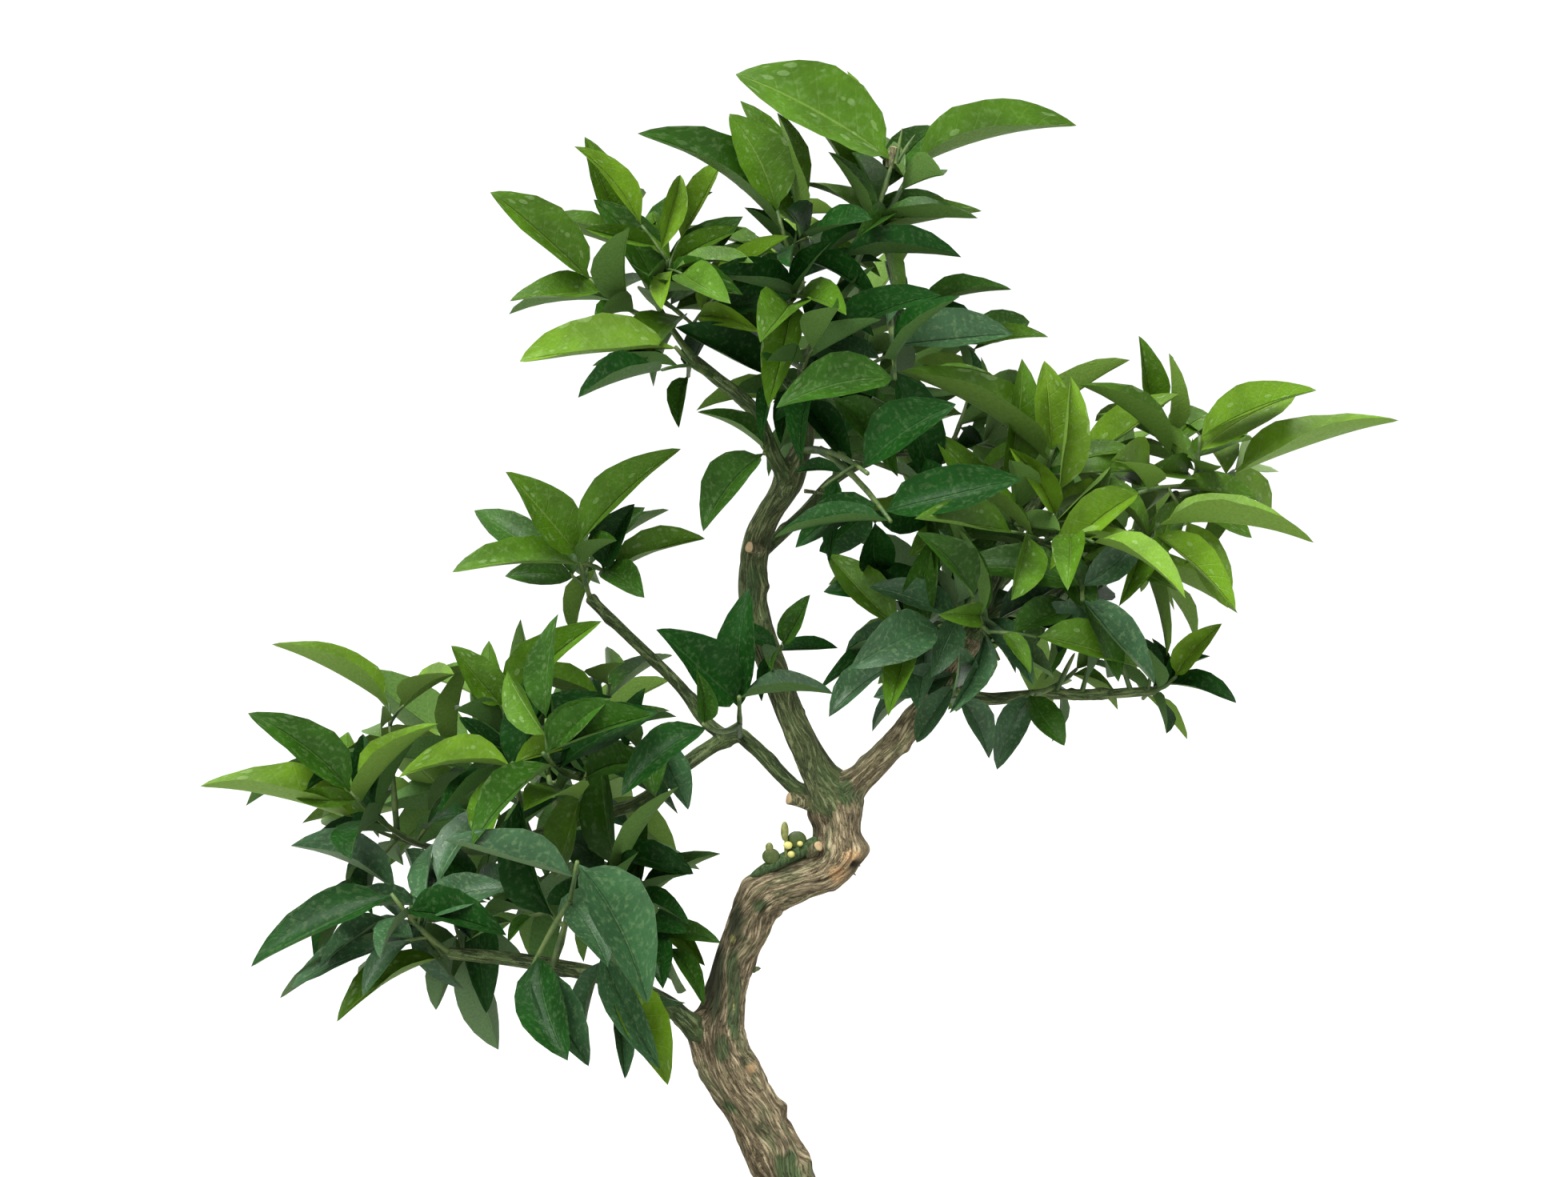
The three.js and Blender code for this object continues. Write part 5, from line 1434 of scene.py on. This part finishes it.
woodStubs = dict(
    forkStub=stub((1012, 1004), (986, 996), (-3, -7), (2.4, 2.0), cut=True),
    leaderStub=stub((950, 690), (937, 684), (-2, -6), (2.2, 1.9), cut=True),
    crotchStub=stub((1012, 1064), (1023, 1053), (-6, -11), (1.9, 1.7), cut=True),
    apexStub=stub((1111, 212), (1117, 188), (-5, -6), (1.5, 1.4), cut=True),
    apexSpikeA=stub((1119, 208), (1127, 164), (-6, -7), (0.95, 0.25), leafy=True),
    apexSpikeB=stub((1121, 206), (1143, 172), (-6, -7), (0.8, 0.25), leafy=True),
    driedStalk=stub((1006, 614), (1046, 622), (-4, -9), (0.7, 0.35)),
    sideTwigA=stub((1317, 866), (1340, 815), (-5, -9), (1.0, 0.7), leafy=True),
    sideTwigB=stub((1350, 866), (1361, 821), (-5, -9), (0.9, 0.6), leafy=True),
    sideTwigC=stub((1412, 864), (1388, 801), (-4, -8), (0.9, 0.5), leafy=True),
    sideTwigD=stub((1433, 864), (1436, 838), (-4, -6), (0.8, 0.5), leafy=True),
    leaderSpur=stub((978, 618), (992, 608), (-3, -6), (1.3, 1.0)),
    elbowSpurA=stub((1064, 1082), (1076, 1080), (-4, -5), (0.6, 0.25)),
    elbowSpurB=stub((1060, 1086), (1070, 1092), (-4, -6), (0.5, 0.2)),
    rightSpike=stub((941, 1213), (951, 1210), (0, 0), (1.0, 0.6)),
    greenShoot=stub((1024, 1050), (938, 1094), (-6, -6), (2.4, 2.0), green=1.0),
    leftSpike=stub((880, 1276), (869, 1272), (-1, -1), (1.0, 0.7)),
)

# The millimetres from ring to ring of a stub and its bow, and how the face of a cut one is domed
stubShape = dict(step=0.7, sides=20, lobes=0.06, bow=(0, -0.4, 0.5), blunt=6)
cutFace = dict(rings=4, share=0.93, rise=(0.12, 0.25), sunk=0.3)


# A place in the photograph at a depth
def pointAt(pixel, depth):
    x, z = placeInPhoto(*pixel)
    return np.array([x, depth, z])


def stubCurve(shape):
    foot, end = map(pointAt, shape["ends"], shape["depth"])
    return foot, (foot + end) / 2 + stubShape["bow"], end


def makeStubs():
    cutFinish = Finish("cutWood", 0.7)
    place = cutFinish.place()
    rings = cutFinish.noise(place, 900.0, 2.0)
    cutFinish.feed("Base Color", cutFinish.mix(rings, linear(150, 122, 84), linear(196, 172, 132)))
    cutFinish.bump(rings, 0.3 * mm, 0.5)
    for name, shape in woodStubs.items():
        curve = stubCurve(shape)
        path = evenPath(lambda s: np.array([bend(curve, t) for t in s]), stubShape["step"])
        around = turnsRound(stubShape["sides"])[None]
        share = np.linspace(0, 1, len(path["centres"]))[:, None]
        thick, thin = shape["radius"]
        lobes = 1 + stubShape["lobes"] * np.cos(3 * around + share * 2)
        radius = (thick + (thin - thick) * share) * lobes
        if not shape["cut"]:
            radius = radius * np.sqrt(np.clip(1.04 - share ** stubShape["blunt"], 0, 1))
        points = path["centres"][:, None] + outFrom(path, around) * radius[..., None]
        flat, quads, thirds = closedTube(points)
        numbers = {"young": np.full(len(flat), 0.5 if shape["cut"] else 0.9), "straight": flat}
        numbers["green"] = np.full(len(flat), shape["green"])
        finish = twigMaterial if shape["leafy"] else barkMaterial
        newPiece(name, flat, [quads, thirds], finish, numbers=numbers, sharp=50)
        if shape["cut"]:
            rows = np.linspace(1, 0, cutFace["rings"])[:, None, None]
            tip, ahead = path["centres"][-1], path["ahead"][-1]
            rim, (least, span) = points[-1][None] - tip, cutFace["rise"]
            face = tip + rim * rows * cutFace["share"] + ahead * (least + span * (1 - rows))
            under = tip + rim * cutFace["share"] - ahead * cutFace["sunk"]
            flat, quads, thirds = closedTube(np.concatenate([under, face]))
            newPiece(name + "Face", flat, [quads, thirds], cutFinish.material)


makeStubs()

# The buds and round little leaves on the side shoot below the fork: place in the photograph,
# depth, half sizes in millimetres, and how pale each is
sideBuds = dict(
    roundLeaf=((964, 1067), -8, (2.9, 0.8, 2.6), 0.06),
    darkLeaf=((996, 1047), -7, (3.2, 0.9, 2.9), 0.0),
    stalk=((983, 1056), -8, (0.7, 0.6, 4.6), 0.2),
    spike=((981, 1036), -8, (1.3, 0.9, 3.2), 0.3),
    littleBud=((962, 1056), -8, (1.3, 0.9, 1.6), 0.25),
    creamBud=((985, 1053), -9, (1.5, 1.1, 1.3), 0.8),
    lowBud=((989, 1064), -9.5, (1.2, 1.0, 1.1), 0.7),
    highBud=((1000, 1051), -9, (1.0, 0.9, 0.9), 0.7),
)


# Each bud is a ball stretched by its half sizes: rings by the sine and cosine of an angle
def makeBuds():
    finish = Finish("budSkin", 0.5)
    speck = finish.noise(finish.place(), 700.0, 3.0)
    pale = (finish.attribute("pale") + (speck - 0.5) * 0.5).between(0.0, 1.0)
    finish.feed("Base Color", finish.mix(pale, linear(52, 70, 8), linear(210, 204, 118)))
    finish.bump(speck, 0.3 * mm, 0.4)
    rise = np.linspace(0, math.pi, 12)[1:-1, None]
    around = turnsRound(18)[None]
    ring = np.sin(rise)
    ball = np.stack([ring * np.cos(around), -ring * np.sin(around), -np.cos(rise) + 0 * around], -1)
    points, quads, thirds, pales = np.zeros((0, 3)), [], [], []
    for pixel, depth, half, paleness in sideBuds.values():
        flat, four, three = closedTube(pointAt(pixel, depth) + ball * half, len(points))
        points = np.vstack([points, flat])
        quads.append(four)
        thirds.append(three)
        pales += [paleness] * len(flat)
    numbers = {"pale": np.array(pales)}
    newPiece("sideBuds", points, quads + thirds, finish.material, numbers=numbers)


makeBuds()
print("stubs and buds made")

# Pot

potShape = dict(
    length=240, depth=176, corner=24, leastCorner=4, steps=12, sideRows=34,
    gapHeight=5.3, gapFront=120, gapSide=76, gapEnds=1.2, wall=10,
)
drain = dict(radius=8, apart=110, sides=32, high=9)


# The pot's outline moved in from the lip: straight sides in a few steps and a quarter circle
# round each corner, as x and y for each place on it
def potOutline(inset):
    corner = max(potShape["corner"] - inset, potShape["leastCorner"])
    halfX = potShape["length"] / 2 - inset - corner
    halfY = potShape["depth"] / 2 - inset - corner
    arcs = []
    for quarter, (right, back) in enumerate(((1, 1), (-1, 1), (-1, -1), (1, -1))):
        angle = (quarter + np.linspace(0, 1, potShape["steps"] + 1)) * math.pi / 2
        x, y = right * halfX + corner * np.cos(angle), back * halfY + corner * np.sin(angle)
        arcs.append(np.stack([x, y], -1))
    ring = []
    for arc, following in zip(arcs, arcs[1:] + arcs[:1]):
        between = np.linspace(0, 1, potShape["sideRows"])[1:-1, None]
        ring += [arc, arc[-1] + (following[0] - arc[-1]) * between]
    return np.vstack(ring)


# The wall's profile as inset and height, from the middle of the underside round the foot, the
# wall and the lip to the floor inside, rounded at each edge
potProfile = [
    (25.4, 0), (24.6, 0), (13, 0), (11.6, 0.3), (11, 1.2), (11, 5.4), (10.4, 6.2), (7.6, 7.8),
    (7, 8.6), (6.6, 12), (5.8, 26), (4.6, 42), (3.6, 53.5), (3.2, 54.6), (1.2, 55.2), (0.3, 55.9),
    (0, 57), (0, 65.2), (0.4, 66.8), (1.3, 67.7), (2.6, 68), (6.6, 68), (8.2, 67.6), (9, 66.4),
    (9.4, 64), (12, 40), (14, 26),
]


# The underside inside its first ring, with two round holes: the plate between the three rings
# is cut into triangles, and each hole goes up as a short tube with a flat end
def drainHoles(flat, around):
    turn, count = turnsRound(drain["sides"]), drain["sides"]
    j = np.arange(count)
    rings, index, quads, ends = [flat[:around]], [np.arange(around)], [], []
    for hand in (-1, 1):
        x, y = hand * drain["apart"] / 2 + drain["radius"] * np.cos(turn), drain["radius"] * np.sin(turn)
        foot = np.stack([x, y, 0 * turn], -1)
        top, start = foot + up * drain["high"], len(flat)
        rings.append(foot)
        index.append(start + j)
        quads.append(gridFaces(2, count, start))
        centre = np.full(count, start + 2 * count)
        ends.append(np.stack([centre, start + count + (j + 1) % count, start + count + j], -1))
        flat = np.vstack([flat, foot, top, top.mean(0)])
    chosen = tessellate_polygon([ring.tolist() for ring in rings])
    plate = np.concatenate(index)[np.array(chosen)]
    a, b, c = (flat[plate[:, k]] for k in range(3))
    isUp = np.cross(b - a, c - a)[:, 2] > 0
    plate[isUp] = plate[isUp][:, ::-1]
    return flat, np.vstack(quads), np.vstack([plate, *ends])


# Each profile place carried round its outline. In the four gaps between the feet the foot's
# rows rise to the gap's height, by a smooth step along the side.
def makePot():
    rings = []
    for place, (inset, height) in enumerate(potProfile):
        ring = potOutline(inset)
        x, y = np.abs(ring[:, 0]), np.abs(ring[:, 1])
        isFoot = 1 <= place <= 5
        onFront = y >= potShape["depth"] / 2 - inset - 0.01
        onSide = x >= potShape["length"] / 2 - inset - 0.01
        front = np.clip((potShape["gapFront"] / 2 - x) / potShape["gapEnds"], 0, 1) * onFront
        side = np.clip((potShape["gapSide"] / 2 - y) / potShape["gapEnds"], 0, 1) * onSide
        z = height + isFoot * np.maximum(front, side) * max(potShape["gapHeight"] - height, 0)
        rings.append(np.column_stack([ring, z]))
    flat, quads, thirds = closedTube(np.array(rings))
    around = len(rings[0])
    flat, holeQuads, plate = drainHoles(flat, around)
    quads, thirds = np.vstack([quads, holeQuads]), np.vstack([thirds[around:], plate])
    finish = Finish("potClay", 0.5)
    place = finish.place()
    cloud = finish.noise(place, 26.0, 4.0)
    speck = finish.noise(place, 900.0, 2.0).between(0.62, 0.72)
    grit = finish.noise(place, 420.0, 4.0)
    color = finish.mix(cloud.between(0.35, 0.7), linear(66, 45, 36), linear(92, 64, 50))
    color = finish.mix(speck * 0.5, color, linear(136, 108, 86))
    finish.feed("Base Color", finish.mix(grit * 0.35, color, linear(46, 32, 26)))
    finish.feed("Roughness", grit * 0.2 + cloud * 0.2 + 0.38)
    finish.bump(grit * 0.6 + cloud * 0.8, 0.5 * mm, 0.45)
    pot = newPiece("clayPot", flat, [quads, thirds], finish.material, sharp=40)
    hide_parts("pot")


makePot()
print("pot made")

# Soil

soilShape = dict(
    edge=58.5, rise=3.5, wall=10.3, mound=((24, 0.5), (42, 0.85), (60, 1.0)), seed=11, grains=5200,
    size=(1.2, 2.9), stretch=(0.7, 1.25), knocked=(-0.22, 0.22), above=(-0.1, 0.45), flatness=0.8,
    rim=2.2, fromTrunk=12,
)
clods = dict(apart=19, radius=3.864, sunk=0.9, astray=0.6, seed=31, fromWall=17, fromTrunk=18)


# How high the soil is at a place: up the mound by how far in from the wall the place lies
def soilHeight(x, y):
    inset = np.minimum(potShape["length"] / 2 - np.abs(x), potShape["depth"] / 2 - np.abs(y))
    insets, shares = zip((soilShape["wall"], 0), *soilShape["mound"])
    return soilShape["edge"] + soilShape["rise"] * np.interp(inset, insets, shares)


# The places of the larger clods: the crossings of a net, each moved a little, clear of the
# wall and the trunk
def clodPlaces():
    countX, countY = (int(potShape[side] / 2 // clods["apart"]) for side in ("length", "depth"))
    trunkX, trunkY = limbs["trunk"]["course"][0][:2]
    seed, apart, astray, places = clods["seed"], clods["apart"], clods["astray"], []
    for i in range(-countX, countX + 1):
        for j in range(-countY, countY + 1):
            x = (i + astray * (chance(seed, i + 0.37 * j) - 0.5)) * apart
            y = (j + astray * (chance(seed, j + 0.61 * i + 50) - 0.5)) * apart
            isInside = abs(x) < potShape["length"] / 2 - clods["fromWall"]
            isInside = isInside and abs(y) < potShape["depth"] / 2 - clods["fromWall"]
            if isInside and math.hypot(x - trunkX, y - trunkY) > clods["fromTrunk"]:
                places.append((x, y))
    return np.array(places)


def soilFinish():
    finish = Finish("soilGrains", 0.9)
    place = finish.place()
    each = finish.noise(place, 210.0, 1.0)
    fine = finish.noise(place, 1500.0, 3.0)
    color = finish.mix(each.between(0.35, 0.5), linear(52, 40, 30), linear(96, 74, 52))
    color = finish.mix(each.between(0.56, 0.68), color, linear(150, 128, 100))
    finish.feed("Base Color", finish.mix(fine * 0.5, color, linear(34, 26, 20)))
    finish.bump(fine, 0.4 * mm, 0.6)
    return finish.material


# The corners and faces of an icosahedron of radius 1
golden = (1 + math.sqrt(5)) / 2
icosahedron = np.array([
    (-1, golden, 0), (1, golden, 0), (-1, -golden, 0), (1, -golden, 0), (0, -1, golden), (0, 1, golden),
    (0, -1, -golden), (0, 1, -golden), (golden, 0, -1), (golden, 0, 1), (-golden, 0, -1), (-golden, 0, 1),
]) / math.hypot(1, golden)
icosahedronFaces = np.array([
    (0, 11, 5), (0, 5, 1), (0, 1, 7), (0, 7, 10), (0, 10, 11), (1, 5, 9), (5, 11, 4), (11, 10, 2), (10, 7, 6),
    (7, 1, 8), (3, 9, 4), (3, 4, 2), (3, 2, 6), (3, 6, 8), (3, 8, 9), (4, 9, 5), (2, 4, 11), (6, 2, 10),
    (8, 6, 7), (9, 8, 1),
])


# Grains of fired clay and pumice: an icosahedron for each, stretched and knocked out of shape,
# at random places over the mound and half sunk in it
def makeSoil():
    shape = soilShape
    material = soilFinish()
    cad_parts["soil"].data.materials.clear()
    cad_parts["soil"].data.materials.append(material)
    random = np.random.default_rng(shape["seed"])
    halfX, halfY = (potShape[side] / 2 - potShape["wall"] - shape["rim"] for side in ("length", "depth"))
    x = random.uniform(-halfX, halfX, shape["grains"])
    y = random.uniform(-halfY, halfY, shape["grains"])
    corner = potShape["corner"] - potShape["wall"]
    pastX, pastY = np.clip(np.abs(x) - halfX + corner, 0, None), np.clip(np.abs(y) - halfY + corner, 0, None)
    trunkX, trunkY = alongCourse(limbCourse("trunk"), 0.02)[0][:2]
    keep = (np.hypot(pastX, pastY) < corner) & (np.hypot(x - trunkX, y - trunkY) > shape["fromTrunk"])
    lumps = clodPlaces()
    x, y = np.append(x[keep], lumps[:, 0]), np.append(y[keep], lumps[:, 1])
    count = len(x)
    size = random.uniform(*shape["size"], count)
    size[-len(lumps):] = clods["radius"]
    stretch = random.uniform(*shape["stretch"], (count, 1, 3)) * size[:, None, None]
    points = stretch * icosahedron[None] * (1 + random.uniform(*shape["knocked"], (count, 12, 1)))
    turn = random.uniform(0, 2 * math.pi, count)[:, None]
    turnedX = points[..., 0] * np.cos(turn) - points[..., 1] * np.sin(turn)
    turnedY = points[..., 0] * np.sin(turn) + points[..., 1] * np.cos(turn)
    above = size * random.uniform(*shape["above"], count)
    above[-len(lumps):] = -clods["sunk"]
    z = points[..., 2] * shape["flatness"] + (soilHeight(x, y) + above)[:, None]
    grid = np.stack([turnedX + x[:, None], turnedY + y[:, None], z], -1).reshape(-1, 3)
    thirds = (icosahedronFaces[None] + 12 * np.arange(count)[:, None, None]).reshape(-1, 3)
    newPiece("soilGrains", grid, [thirds], material)


makeSoil()
print("soil made")

# Floor, light and surroundings

studio = dict(
    floor=(0.5, 0.5, 0.49), reach=16.0, sides=64, world=1.1, sun=5.6, softness=42, towards=(0.38, 0.62, -1.0),
)


# A wide round sheet on which the pot stands
def makeStage():
    around = turnsRound(studio["sides"])
    points = np.stack([np.cos(around), np.sin(around), 0 * around], -1) * studio["reach"]
    mesh = bpy.data.meshes.new("paleFloor")
    mesh.from_pydata(points.tolist(), [], [list(range(studio["sides"]))])
    finish = Finish("paleFloor", 0.9)
    finish.shader.inputs["Base Color"].default_value = (*studio["floor"], 1.0)
    mesh.materials.append(finish.material)
    floor = putInScene("paleFloor", mesh)


# White surroundings, and one wide soft light from above, the front and the left
def makeLight():
    world = bpy.data.worlds.new("studio")
    bpy.context.scene.world = world
    world.use_nodes = True
    background = world.node_tree.nodes["Background"].inputs
    background["Color"].default_value = (1, 1, 1, 1)
    background["Strength"].default_value = studio["world"]
    data = bpy.data.lights.new("softSun", "SUN")
    data.energy = studio["sun"]
    data.angle = math.radians(studio["softness"])
    light = putInScene("softSun", data)
    x, y, z = studio["towards"]
    light.rotation_euler = (math.atan2(math.hypot(x, y), -z), 0, math.atan2(y, x) - math.pi / 2)
    bpy.context.scene.view_settings.view_transform = "Standard"


makeStage()
makeLight()
